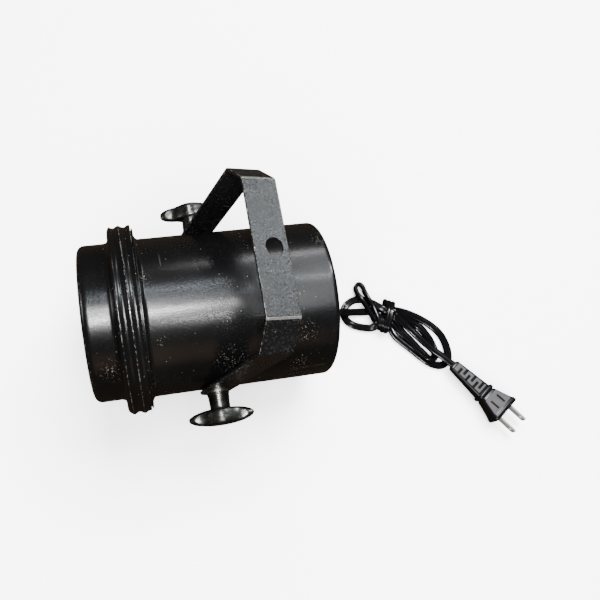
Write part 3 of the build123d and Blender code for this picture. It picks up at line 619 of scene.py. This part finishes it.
def wrap():
    """The turns round the bundle, as points and the ways they face."""
    turns = []
    for i in range(WRAP_POINTS):
        angle = radians(WRAP_FROM - i * WRAP_STEP)
        share = i / (WRAP_POINTS - 1) * (len(WRAP_ALONG) - 1)
        k = min(int(share), len(WRAP_ALONG) - 2)
        along = WRAP_ALONG[k] + (WRAP_ALONG[k + 1] - WRAP_ALONG[k]) * (share - k)
        out = WRAP_GROWS * i * WRAP_STEP / 360
        c, s = cos(angle), sin(angle)
        square = (abs(c) ** 3 + abs(s) ** 3) ** (-1 / 3)  # a rounded box, not an ellipse
        point = tied(along, (WRAP_HALF + out) * c * square, WRAP_MIDDLE + (WRAP_RISE + out) * s * square)
        if s < 0:
            point.z = max(point.z, CORD_T / 2 + UNDER_WRAP)
        turns.append((point, TIE_ACROSS * c + UP * s))
    return turns


def stretch_rolls():
    """The lead's points from end to end, with the ways its flat side faces."""
    whole = rolled(LEAD, [FLAT] * len(LEAD))
    whole += rolled(OUTER_LOOP, [FLAT] * len(OUTER_LOOP))
    whole += rolled(LEFT_LOOP, [FLAT] * len(LEFT_LOOP))
    inner_rolls = [FLAT] * len(INNER_LOOP)
    inner_rolls[7:10] = [radians(-40), radians(-60), radians(-30)]
    whole += rolled(INNER_LOOP, inner_rolls)
    whole += rolled(BEFORE_FOLD, [FLAT, radians(30)])
    fold_rolls = [radians(65)] + [ON_EDGE] * (len(FOLD) - 2) + [radians(45)]
    whole += rolled(FOLD, fold_rolls)
    whole += wrap()
    whole += rolled(PLUG_RUN, [FLAT] * len(PLUG_RUN))
    return whole


def smooth_line(points):
    """Points along the NURBS spline that has these control points."""
    curve = bpy.data.curves.new("route", "CURVE")
    curve.dimensions = "3D"
    curve.resolution_u = 10
    spline = curve.splines.new("NURBS")
    spline.points.add(len(points) - 1)
    for spline_point, point in zip(spline.points, points):
        spline_point.co = (*point, 1.0)
    spline.order_u = 3
    spline.use_endpoint_u = True
    bare = bpy.data.objects.new("route", curve)
    mesh = bpy.data.meshes.new_from_object(bare)
    line = [v.co.copy() for v in mesh.vertices]
    bpy.data.objects.remove(bare)
    bpy.data.meshes.remove(mesh)
    bpy.data.curves.remove(curve)
    return line


def twin_section():
    """The flat twin cord's outline: two round lobes with a groove between them, x across."""
    lobe = []
    steps = 10
    for k in range(steps + 1):
        angle = radians(LOBE_TURN * (k / steps - 0.5))
        lobe.append((LOBE_R + LOBE_R * cos(angle), LOBE_R * sin(angle)))
    return lobe + [(-x, -y) for x, y in lobe]


def facing_along(facing, count):
    """The facing at each of count points, between the facings of the control points."""
    found = []
    for i in range(count):
        share = i / (count - 1) * (len(facing) - 2) + 0.5
        k = min(int(share), len(facing) - 2)
        found.append(facing[k].lerp(facing[k + 1], share - k))
    return found


def make_cord(finish):
    """The lead's mesh, and the points of its middle line."""
    whole = stretch_rolls()
    line = smooth_line([p for p, _ in whole])
    facing = facing_along([f for _, f in whole], len(line))
    section = twin_section()
    points = []
    for i, place in enumerate(line):
        onward = (line[min(i + 1, len(line) - 1)] - line[max(i - 1, 0)]).normalized()
        out = (facing[i] - onward * facing[i].dot(onward)).normalized()
        side = onward.cross(out)
        points += [place + side * x + out * y for x, y in section]
    for point in points:
        point.z = max(point.z, LOWEST)
    made = bare_mesh("mains_lead", points, ring_faces(len(line), len(section)))
    dress(made, "can", finish, ("cord_lead", "cord_hank", "cord_tail"))
    return made, line


# ---------------------------------------------------------------- front bezel

THREAD_PITCH = 7.0 * MM
FIRST_CREST = -51.29 * MM  # along, straight above the axis
THREAD_RISE = 1.4 * MM
THREAD_STARTS = 1.8 * MM  # the thread has its full height this far behind the ring's front
SKIRT_R = 62.6 * MM
SKIRT_BACK = -44.8 * MM
RING_FRONT = -60.2 * MM
CUP_R = 53.0 * MM
CUP_FRONT = -80.9 * MM
MOUTH_R = 45.5 * MM
SHEET = 1.2 * MM
POINTS_ROUND = 256


def crest_height(along, angle, sharpness=1.2):
    """0 in a groove of the rolled thread and 1 on its crest. The angle goes from up towards across."""
    away = (along - FIRST_CREST) / THREAD_PITCH + angle / (2 * pi)
    return (0.5 + 0.5 * cos(2 * pi * away)) ** sharpness


def in_can(along, angle, radius):
    """The row-frame point at this distance along the can's axis and this angle round it."""
    return CAN @ Vector((along, radius * sin(angle), radius * cos(angle)))


def make_bezel():
    """The screw-on bezel: a cup with a turned-in lip, and a skirt with a thread rolled into it."""
    inside = SKIRT_R - SHEET - 0.1 * MM
    outline = [
        (CUP_FRONT + SHEET, MOUTH_R), (CUP_FRONT + 0.3 * MM, MOUTH_R - 0.1 * MM),
        (CUP_FRONT, MOUTH_R + 0.3 * MM),
        (CUP_FRONT, CUP_R), (RING_FRONT, CUP_R), (RING_FRONT, SKIRT_R), (SKIRT_BACK, SKIRT_R),
        (SKIRT_BACK, inside), (RING_FRONT + SHEET, inside), (RING_FRONT + SHEET, CUP_R - SHEET),
        (CUP_FRONT + SHEET, CUP_R - SHEET), (CUP_FRONT + SHEET, MOUTH_R + 0.2 * MM),
    ]
    radii = [r * MM for r in (0.15, 0.2, 4.8, 3.4, 2.2, 0.5, 0.4, 1.4, 2.4, 3.8)]
    profile = spaced(rounded(outline, radii), 0.6 * MM)
    points, crests, edges = [], [], []
    for k in range(POINTS_ROUND):
        angle = 2 * pi * k / POINTS_ROUND
        for along, radius in profile:
            on_skirt = 0
            if radius > inside - 0.6 * MM:
                on_skirt = min(max((along - RING_FRONT) / THREAD_STARTS, 0), 1)
            crest = crest_height(along, angle) * on_skirt
            points.append(in_can(along, angle, radius + THREAD_RISE * crest))
            crests.append(crest if radius > inside + 0.6 * MM else 0)
            on_cup = CUP_R - 3 * MM < radius < CUP_R + MM
            rim = exp(-(((along - CUP_FRONT - SHEET) / (0.7 * MM)) ** 2)) * on_cup
            edges.append(max(rim, (along > SKIRT_BACK - 0.3 * MM) * 0.9))
    faces = ring_faces(POINTS_ROUND, len(profile), closed_rings=True)
    made = bare_mesh("threaded_bezel", points, faces, {"crest": crests, "edge": edges})
    dress(made, "bezel", dusty_enamel("bezel_enamel", worn_crests), ("front_bezel",))


def make_neck_thread():
    """The ridge rolled into the can's neck, under the bezel's crests."""
    start, end = -54.4 * MM, -45.9 * MM
    base, rise, half = 59.7 * MM, 1.9 * MM, 1.6 * MM
    steps = 150
    points = []
    for i in range(steps + 1):
        middle = start + (end - start) * i / steps
        angle = -(middle - FIRST_CREST) / THREAD_PITCH * 2 * pi
        fade = min(1, i / 8, (steps - i) / 8)
        for across, height in ((-1, 0), (-0.55, 0.55), (-0.2, 0.95), (0.2, 0.95), (0.55, 0.55), (1, 0)):
            points.append(in_can(middle + across * half, angle, base + rise * height * max(fade, 0.05)))
    made = bare_mesh("neck_thread", points, ring_faces(steps + 1, 6))
    dress(made, "can", FINISHES["can_enamel"])


# ---------------------------------------------------------------- yoke

STRAP_HALF = 10.5 * MM
STRAP_T = 1.8 * MM
YOKE_REACH = 112.4 * MM
YOKE_HALF = 56.8 * MM
CROSS_HALF = 41.3 * MM
CHAMFER_DROP = 17.2 * MM
LEG_TAIL = 13.0 * MM
LEG_CORNER_R = 9.0 * MM
BEND_R = 3.4 * MM
STUD_HOLE_R = 3.08 * MM
HANGING_HOLE_R = 5.4 * MM
YOKE_FORE = YOKE_UP.cross(ACROSS)
YOKE = axes(PIVOT, ACROSS, YOKE_UP, YOKE_FORE)


def make_yoke():
    """The yoke: one strap, bent to the shape of a house's gable, with rounded ends and three holes."""
    shoulder = YOKE_REACH - CHAMFER_DROP
    corners = [
        (-YOKE_HALF, -LEG_TAIL), (-YOKE_HALF, shoulder), (-CROSS_HALF, YOKE_REACH),
        (CROSS_HALF, YOKE_REACH), (YOKE_HALF, shoulder), (YOKE_HALF, -LEG_TAIL),
    ]
    line = spaced(rounded(corners, [BEND_R] * 4, 8), 9 * MM)
    ends = [LEG_CORNER_R * (1 - cos(radians(90) * k / 9)) for k in range(10)]
    low = [Vector((-YOKE_HALF, -LEG_TAIL + d)) for d in ends]
    high = [Vector((YOKE_HALF, -LEG_TAIL + d)) for d in reversed(ends)]
    line = low + [p for p in line if p.y > -LEG_TAIL + LEG_CORNER_R + MM] + high
    points, edges, bends = [], [], []
    for i, place in enumerate(line):
        onward = (line[min(i + 1, len(line) - 1)] - line[max(i - 1, 0)]).normalized()
        out = Vector((-onward.y, onward.x))
        over = LEG_CORNER_R - (place.y + LEG_TAIL)
        half = STRAP_HALF
        if over >= 0:
            half += sqrt(max(LEG_CORNER_R**2 - over**2, 0)) - LEG_CORNER_R
        away = [(place - Vector(c)).length for c in corners]
        bent = min(away[2:4]) < 3.2 * MM
        bend = exp(-(((min(away[1:5]) - BEND_R * 0.09) / (0.9 * MM)) ** 2))
        for x, y in rounded_box(half, STRAP_T / 2, 0.4 * MM):
            flat = place + out * (y - STRAP_T / 2)
            points.append(YOKE @ Vector((flat.x, flat.y, x)))
            corner = half - abs(x) < 0.35 * MM and abs(y) > STRAP_T / 2 - 0.35 * MM
            edges.append(1.0 if corner else 0.0)
            bends.append(bend if bent and y > 0 else 0.0)
    made = bare_mesh("strap_yoke", points, ring_faces(len(line), 20), {"edge": edges, "bend": bends})
    beyond = YOKE_HALF + MM
    stud_holes = rod(axes(PIVOT, YOKE_UP, YOKE_FORE, ACROSS), STUD_HOLE_R, -beyond, beyond)
    hole_place = axes(mounts["hanging_hole"]["pos_m"], ACROSS, YOKE_FORE, YOKE_UP)
    hanging_hole = rod(hole_place, HANGING_HOLE_R, -4 * MM, 2 * MM, 64)
    cut(made, [stud_holes, hanging_hole])
    dress(made, "yoke", FINISHES["yoke_enamel"], ("yoke",), sharp=35, weighted=True)


# ---------------------------------------------------------------- wing screws

NECK_LENGTH = 11.0 * MM
WING_HALF = 22.0 * MM
WING_ACROSS = 6.0 * MM
WING_TURNS = {"lower": radians(6), "upper": radians(9)}


def signed_power(value, power):
    """A number's size raised to a power, with the number's own sign."""
    return copysign(abs(value) ** power, value)


def wing_thickness(x, leaf):
    """Half the wing's thickness in millimetres: a boss in the middle, and waisted blades."""
    hub = 4.6 * exp(-((x / 8.5) ** 2))
    waist = 0.9 * exp(-(((abs(x) - 13) / 5) ** 2))
    return (2.4 + leaf * 0.5 * (abs(x) / 22) ** 2) + hub - waist


def make_knob(place, side):
    """A cast wing knob: a round neck that flares at its foot, and a waisted elliptical wing."""
    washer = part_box(f"wing_washer_{place}")
    out = ACROSS * side
    foot = max(abs(washer[0].y), abs(washer[1].y))
    turn = WING_TURNS[place]
    wing_dir = REARWARD * cos(turn) + UPWARD * sin(turn)
    neck = axes(PIVOT, wing_dir, out.cross(wing_dir), out)
    profile = [
        (3.0, 0.0), (7.2, 0.0), (7.6, 0.3), (7.6, 0.8), (7.3, 1.4), (7.1, 3.0), (6.95, 6.0), (6.85, 9.0),
        (6.7, 10.6), (6.0, 11.6), (5.0, 13.0), (3.0, 14.0), (0.0, 14.2),
    ]
    count = 64
    points = [neck @ Vector((0, 0, foot))] * count
    for radius, height in profile:
        for k in range(count):
            angle = 2 * pi * k / count
            x, y = radius * MM * cos(angle), radius * MM * sin(angle)
            points.append(neck @ Vector((x, y, foot + height * MM)))
    shell = ring_faces(len(profile) + 1, count)
    middle = PIVOT + out * (foot + NECK_LENGTH + WING_ACROSS - MM)
    wing = axes(middle, wing_dir, out, wing_dir.cross(out))
    spans = [0.0, 0.12, 0.25, 0.38, 0.5, 0.6, 0.7, 0.78, 0.85, 0.91, 0.95, 0.98, 0.995, 1.0]
    levels = [(e, 1) for e in spans] + [(e, -1) for e in reversed(spans[:-1])]
    first = len(points)
    leaf = 1 if place == "upper" else 0
    blunt = 1 - 0.28 * leaf  # below 1 the wing's outline is squarer than an ellipse
    around = 112
    for e, sign in levels:
        edge = (1 - e**5) ** 0.5 if e < 1 else 0
        for k in range(around):
            angle = 2 * pi * k / around
            x = e * WING_HALF * signed_power(cos(angle), blunt)
            y = e * WING_ACROSS * signed_power(sin(angle), blunt)
            thick = wing_thickness(x / MM, leaf) * MM * (0.35 + 0.65 * edge) if e < 1 else 0
            points.append(wing @ Vector((x, y, sign * thick * (edge if e > 0.9 else 1))))
    shell += [tuple(first + i for i in face) for face in ring_faces(len(levels), around)]
    made = bare_mesh(f"cast_wing_knob_{place}", points, shell)
    finish = FINISHES["knob_metal"]
    dress(made, f"{place}_screw", finish, (f"wing_knob_{place}",), sharp=50)


# ---------------------------------------------------------------- plug

PLUG_ACROSS = UP.cross(PLUG_OUT)
PLUG_START = Vector(mounts["plug"]["pos_m"]) - PLUG_OUT * 60 * MM
PLUG = axes(PLUG_START, PLUG_OUT, PLUG_ACROSS, UP)
# The plug's own sizes are in millimetres, from the tip of the strain relief
RELIEF_END = 30.0
BAR_FROM = 2.6
BAR_TO = 28.6
BAR_RISE = 0.7
SLOT_W = 2.1
SLOT_PAST_MIDDLE = 0.45
SLOTS = {-1: (7.0, 14.8, 22.4), 1: (10.9, 18.5, 26.0)}
PANEL_FROM = 35.6
PANEL_TO = 47.6
PANEL_FOOT = 4.6
PANEL_HEIGHT = 6.45
PANEL_SLOPE = 0.085
# The panels' grooves, each with its ends, its sides and its depth
GROOVES = [((38.6, 46.2, y - 0.8, y + 0.8), 1.2) for y in (-3.6, 3.6)] + [((39.6, 45.4, -2.4, 2.4), 0.3)]
BLADE_FROM = 50.5
BLADE_END = 67.7
BLADE_HALF = 3.15
BLADE_T = 1.5
BLADE_APART = 12.7
BLADE_HOLE_AT = 64.0
BLADE_HOLE_R = 1.6
# Half the body's width and height at each distance
BODY_RINGS = [
    (30.2, 6.4, 5.4), (30.3, 7.3, 6.1), (30.7, 7.7, 6.4), (32.4, 7.75, 6.45), (32.9, 7.5, 6.2),
    (33.2, 6.7, 5.4), (33.9, 6.6, 5.3), (34.3, 7.0, 5.6), (36.0, 7.7, 5.9), (39.0, 8.6, 6.2),
    (43.0, 9.8, 6.6), (47.0, 11.0, 7.0), (48.2, 11.4, 7.1), (48.6, 11.7, 7.5), (49.2, 12.0, 7.75),
    (50.8, 12.25, 7.8), (51.5, 12.1, 7.6), (51.9, 11.6, 7.1), (52.0, 10.8, 6.3),
]


def in_metres(shape):
    """A flat outline given in millimetres."""
    return [(x * MM, y * MM) for x, y in shape]


def relief_half(x):
    """Half the strain relief's width, in millimetres."""
    return 4.5 + 2.2 * x / RELIEF_END


def relief_top(x):
    """Half the strain relief's height under its raised bars, in millimetres."""
    return 2.9 + 1.55 * x / RELIEF_END


def bar_half(x):
    """Half the width of the raised bar's winding, in millimetres."""
    return 2.9 + 1.5 * x / RELIEF_END


def bar_top(x):
    """The raised bar's height, with both lengths in metres."""
    return (relief_top(x / MM) + BAR_RISE) * MM


def panel_top(depth=0.0):
    """The raised panel's height less a groove's depth, as a function of a length in metres."""
    return lambda x: (PANEL_HEIGHT + (x / MM - PANEL_FROM) * PANEL_SLOPE - depth) * MM


def make_plug_relief():
    """The strain relief: a tapered core, and on each face a raised bar that winds from side to side."""
    stops = [0.2, 0.4, 1.2, 2.4, 8.0, 16.0, 24.0, 29.0, 31.0]
    rings = []
    for x in stops:
        nose = max(0, 1.2 - x) * 0.9
        half_w, half_h = (relief_half(x) - nose) * MM, (relief_top(x) - nose * 0.7) * MM
        rings += [PLUG @ Vector((x * MM, y, z)) for y, z in rounded_box(half_w, half_h, 2.0 * MM, 5)]
    core = bare_mesh("mains_plug_relief", rings, ring_faces(len(stops), 24))
    dress(core, "can", FINISHES["plug_pvc"], ("plug_relief",), sharp=50)
    sides = {}
    for side, slots in SLOTS.items():
        edge = [(BAR_FROM, side * bar_half(BAR_FROM))]
        for x in slots:
            near, far = x - SLOT_W / 2, x + SLOT_W / 2
            deep = -SLOT_PAST_MIDDLE * bar_half(x) * side
            edge += [(near, side * bar_half(near)), (near, deep)]
            edge += [(far, deep), (far, side * bar_half(far))]
        edge.append((BAR_TO, side * bar_half(BAR_TO)))
        sides[side] = edge
    winding = in_metres(sides[1] + sides[-1][::-1])
    bars = [core]
    for name, turn, side in (("top", 0, 1), ("under", pi, -1)):
        turned = PLUG @ Matrix.Rotation(turn, 4, "X")
        bar = prism(f"mains_plug_bar_{name}", turned, [(x, side * y) for x, y in winding], MM, bar_top)
        soften(bar, 0.3 * MM, 2)
        # Painted highlight: the bars get the light grey finish that stands in for the sheen on their tops.
        dress(bar, "can", FINISHES["plug_painted_sheen"], (), sharp=50, weighted=True)
        bars.append(bar)
    return bars


def make_plug_body():
    """The plug's wedge: a collar, a groove, flared sides and a rounded front flange."""
    points = []
    for x, half_w, half_h in BODY_RINGS:
        outline = rounded_box(half_w, half_h, min(2.6, half_h * 0.42), 5)
        points += [PLUG @ Vector((x * MM, y * MM, z * MM)) for y, z in outline]
    body = bare_mesh("mains_plug_body", points, ring_faces(len(BODY_RINGS), 24))
    dress(body, "can", FINISHES["plug_pvc"], ("plug_body",), sharp=50)
    panels = []
    right = [(PANEL_FROM, -6.0), (36.4, -6.5), (PANEL_TO, -9.7)]
    shape = in_metres(right + [(x, -y) for x, y in right[::-1]])
    for name, turn in (("top", 0), ("under", pi)):
        turned = PLUG @ Matrix.Rotation(turn, 4, "X")
        panel = prism(f"mains_plug_panel_{name}", turned, shape, PANEL_FOOT * MM, panel_top())
        soften(panel, 0.55 * MM, 3)
        cutters = []
        for (x0, x1, y0, y1), depth in GROOVES:
            flat = in_metres([(x0, y0), (x1, y0), (x1, y1), (x0, y1)])
            cutters.append(prism("groove", turned, flat, panel_top(depth), 9 * MM))
        cut(panel, cutters)
        # Painted highlight: the panels get the light grey finish that stands in for the sheen on their tops.
        dress(panel, "can", FINISHES["plug_painted_sheen"], (), sharp=35, weighted=True)
        panels.append(panel)
    return [body, *panels]


def make_plug_blades():
    """Two flat blades, pointed a little and each with a hole."""
    # Painted reflection: the blades' pale colour stands in for what they would mirror.
    finish = FINISHES["blade_nickel"]
    lower = [(BLADE_FROM, -BLADE_HALF), (66.4, -BLADE_HALF), (BLADE_END, -2.2)]
    shape = in_metres(lower + [(x, -y) for x, y in lower[::-1]])
    blades = []
    for name, side, nodes in (("left", 1, ("plug_blades",)), ("right", -1, ())):
        middle = PLUG @ Vector((0, side * BLADE_APART / 2 * MM, 0))
        flat = axes(middle, PLUG_OUT, UP, -PLUG_ACROSS)
        blade = prism(f"mains_plug_blade_{name}", flat, shape, -BLADE_T / 2 * MM, BLADE_T / 2 * MM)
        hole = flat @ Matrix.Translation((BLADE_HOLE_AT * MM, 0, 0))
        cut(blade, [rod(hole, BLADE_HOLE_R * MM, -2 * MM, 2 * MM, 32)])
        soften(blade, 0.25 * MM, 2)
        blades.append(dress(blade, "can", finish, nodes, sharp=40, weighted=True))
    return blades


# ---------------------------------------------------------------- the whole light

plug_pieces = make_plug_relief() + make_plug_body() + make_plug_blades()
lead, lead_line = make_cord(FINISHES["cord_pvc"])
make_bezel()
make_neck_thread()
make_yoke()
make_knob("lower", -1)
make_knob("upper", 1)

for part in frame["record"]["subparts"]:
    node = frame["nodes"][part["node"]]
    node.data.materials.clear()
    node.data.materials.append(FINISHES[part["material_slot"]])

# ---------------------------------------------------------------- floor and light


PAPER = (0.93, 0.93, 0.93)
FLOOR_MIRRORED = (0.009, 0.0065, 0.0045)
WORLD_STRENGTH = 0.05
WORLD_SEEN = 4.0
COOL = (0.80, 0.90, 1.0)
PALE = (0.92, 0.97, 1.0)
WARM = (1.0, 0.60, 0.38)


def make_floor():
    """A plain white floor. The light, which mirrors it, sees a dim brown instead."""
    bpy.ops.mesh.primitive_plane_add(size=6)
    floor = bpy.context.object
    floor.name = "floor"
    paper = Finish("paper", PAPER, 0.8, Specular_IOR_Level=0.0)
    seen = paper.node("ShaderNodeLightPath").outputs["Is Camera Ray"]
    floor.data.materials.append(paper.done(paper.mix(seen, FLOOR_MIRRORED, PAPER)))
    return floor


def make_light(name, direction, distance, size, power, colour=(1, 1, 1), only=()):
    """A soft rectangular light, aimed at the pivot, whose first side runs along the can.

    It lights only the pieces that are given, or everything.
    """
    data = bpy.data.lights.new(name, "AREA")
    data.shape = "RECTANGLE"
    data.size, data.size_y = size
    data.energy = power
    data.color = colour
    made = bpy.data.objects.new(name, data)
    towards = Vector(direction).normalized()
    made.location = PIVOT + towards * distance
    side = towards.cross(REARWARD).normalized()
    made.rotation_euler = axes((0, 0, 0), side.cross(towards), side, towards).to_euler()
    bpy.context.scene.collection.objects.link(made)
    if only:
        chosen = bpy.data.collections.new(f"{name}_only")
        for part in only:
            chosen.objects.link(part)
        made.light_linking.receiver_collection = chosen


def make_world():
    """A dim grey all round, and white where the camera sees past the floor."""
    world = bpy.data.worlds.new("world")
    bpy.context.scene.world = world
    world.use_nodes = True
    tree = world.node_tree
    seen = tree.nodes.new("ShaderNodeLightPath").outputs["Is Camera Ray"]
    shade = tree.nodes.new("ShaderNodeMapRange")
    shade.inputs["To Min"].default_value = WORLD_STRENGTH
    shade.inputs["To Max"].default_value = WORLD_SEEN
    tree.links.new(seen, shade.inputs["Value"])
    tree.links.new(shade.outputs["Result"], tree.nodes["Background"].inputs["Color"])


can_shell = [frame["nodes"]["rear_can"]]
upper_knob = [bpy.data.objects["cast_wing_knob_upper"]]
on_lead = [lead, *plug_pieces]
on_light = [made for made in bpy.context.scene.objects if made.type == "MESH" and made not in on_lead]
on_floor = [make_floor()]
make_light("floor_light", (0.30, 0.42, 0.85), 1.7, (1.2, 1.2), 190, only=on_floor)
make_light("floor_fill", (-0.10, -0.50, 0.86), 1.8, (1.8, 1.8), 190, only=on_floor)
make_light("key", (0.045, -0.170, 0.985), 1.2, (0.30, 0.05), 13, only=on_light)
make_light("cup_strip", (-0.06, 0.0, 1.0), 1.2, (0.08, 0.02), 4.5, only=on_light)
make_light("cup_low", (-0.065, -0.25, 0.97), 1.2, (0.08, 0.05), 5, only=on_light)
make_light("cool_low", (0.10, 0.10, 0.97), 1.2, (0.40, 0.03), 1.2, COOL, on_light)
make_light("cool_high", (0.12, 0.33, 0.93), 1.2, (0.40, 0.03), 2.2, COOL, on_light)
make_light("far_strip", (0.32, 0.77, 0.55), 1.2, (0.40, 0.04), 1.6, only=on_light)
make_light("near_patch", (0.17, -0.40, 0.90), 1.2, (0.11, 0.035), 1.8, only=on_light)
make_light("rear_panel", (0.43, 0.19, 0.88), 1.2, (0.18, 2.0), 6.4, PALE, can_shell)
make_light("rear_streak", (0.44, 0.24, 0.87), 1.2, (0.16, 0.05), 1.0, PALE, can_shell)
make_light("knob_panel", (-0.12, 0.45, 0.88), 1.2, (0.35, 0.30), 8, only=upper_knob)
make_light("side_panel", (0.665, 0.350, 0.66), 1.1, (0.12, 0.09), 5.6, PALE, on_light)
make_light("warm_side", (0.0, -0.96, 0.30), 1.2, (0.9, 0.55), 0.65, WARM, on_light)
make_light("front_fill", (-0.93, 0.20, 0.30), 1.3, (0.35, 0.35), 2.0, only=on_light)
make_light("lead_glint", (0.10, 0.50, 0.86), 1.2, (0.09, 0.09), 17, only=on_lead)
make_light("lead_fill", (-0.25, -0.55, 0.80), 1.3, (0.12, 0.12), 10, only=on_lead)
make_world()
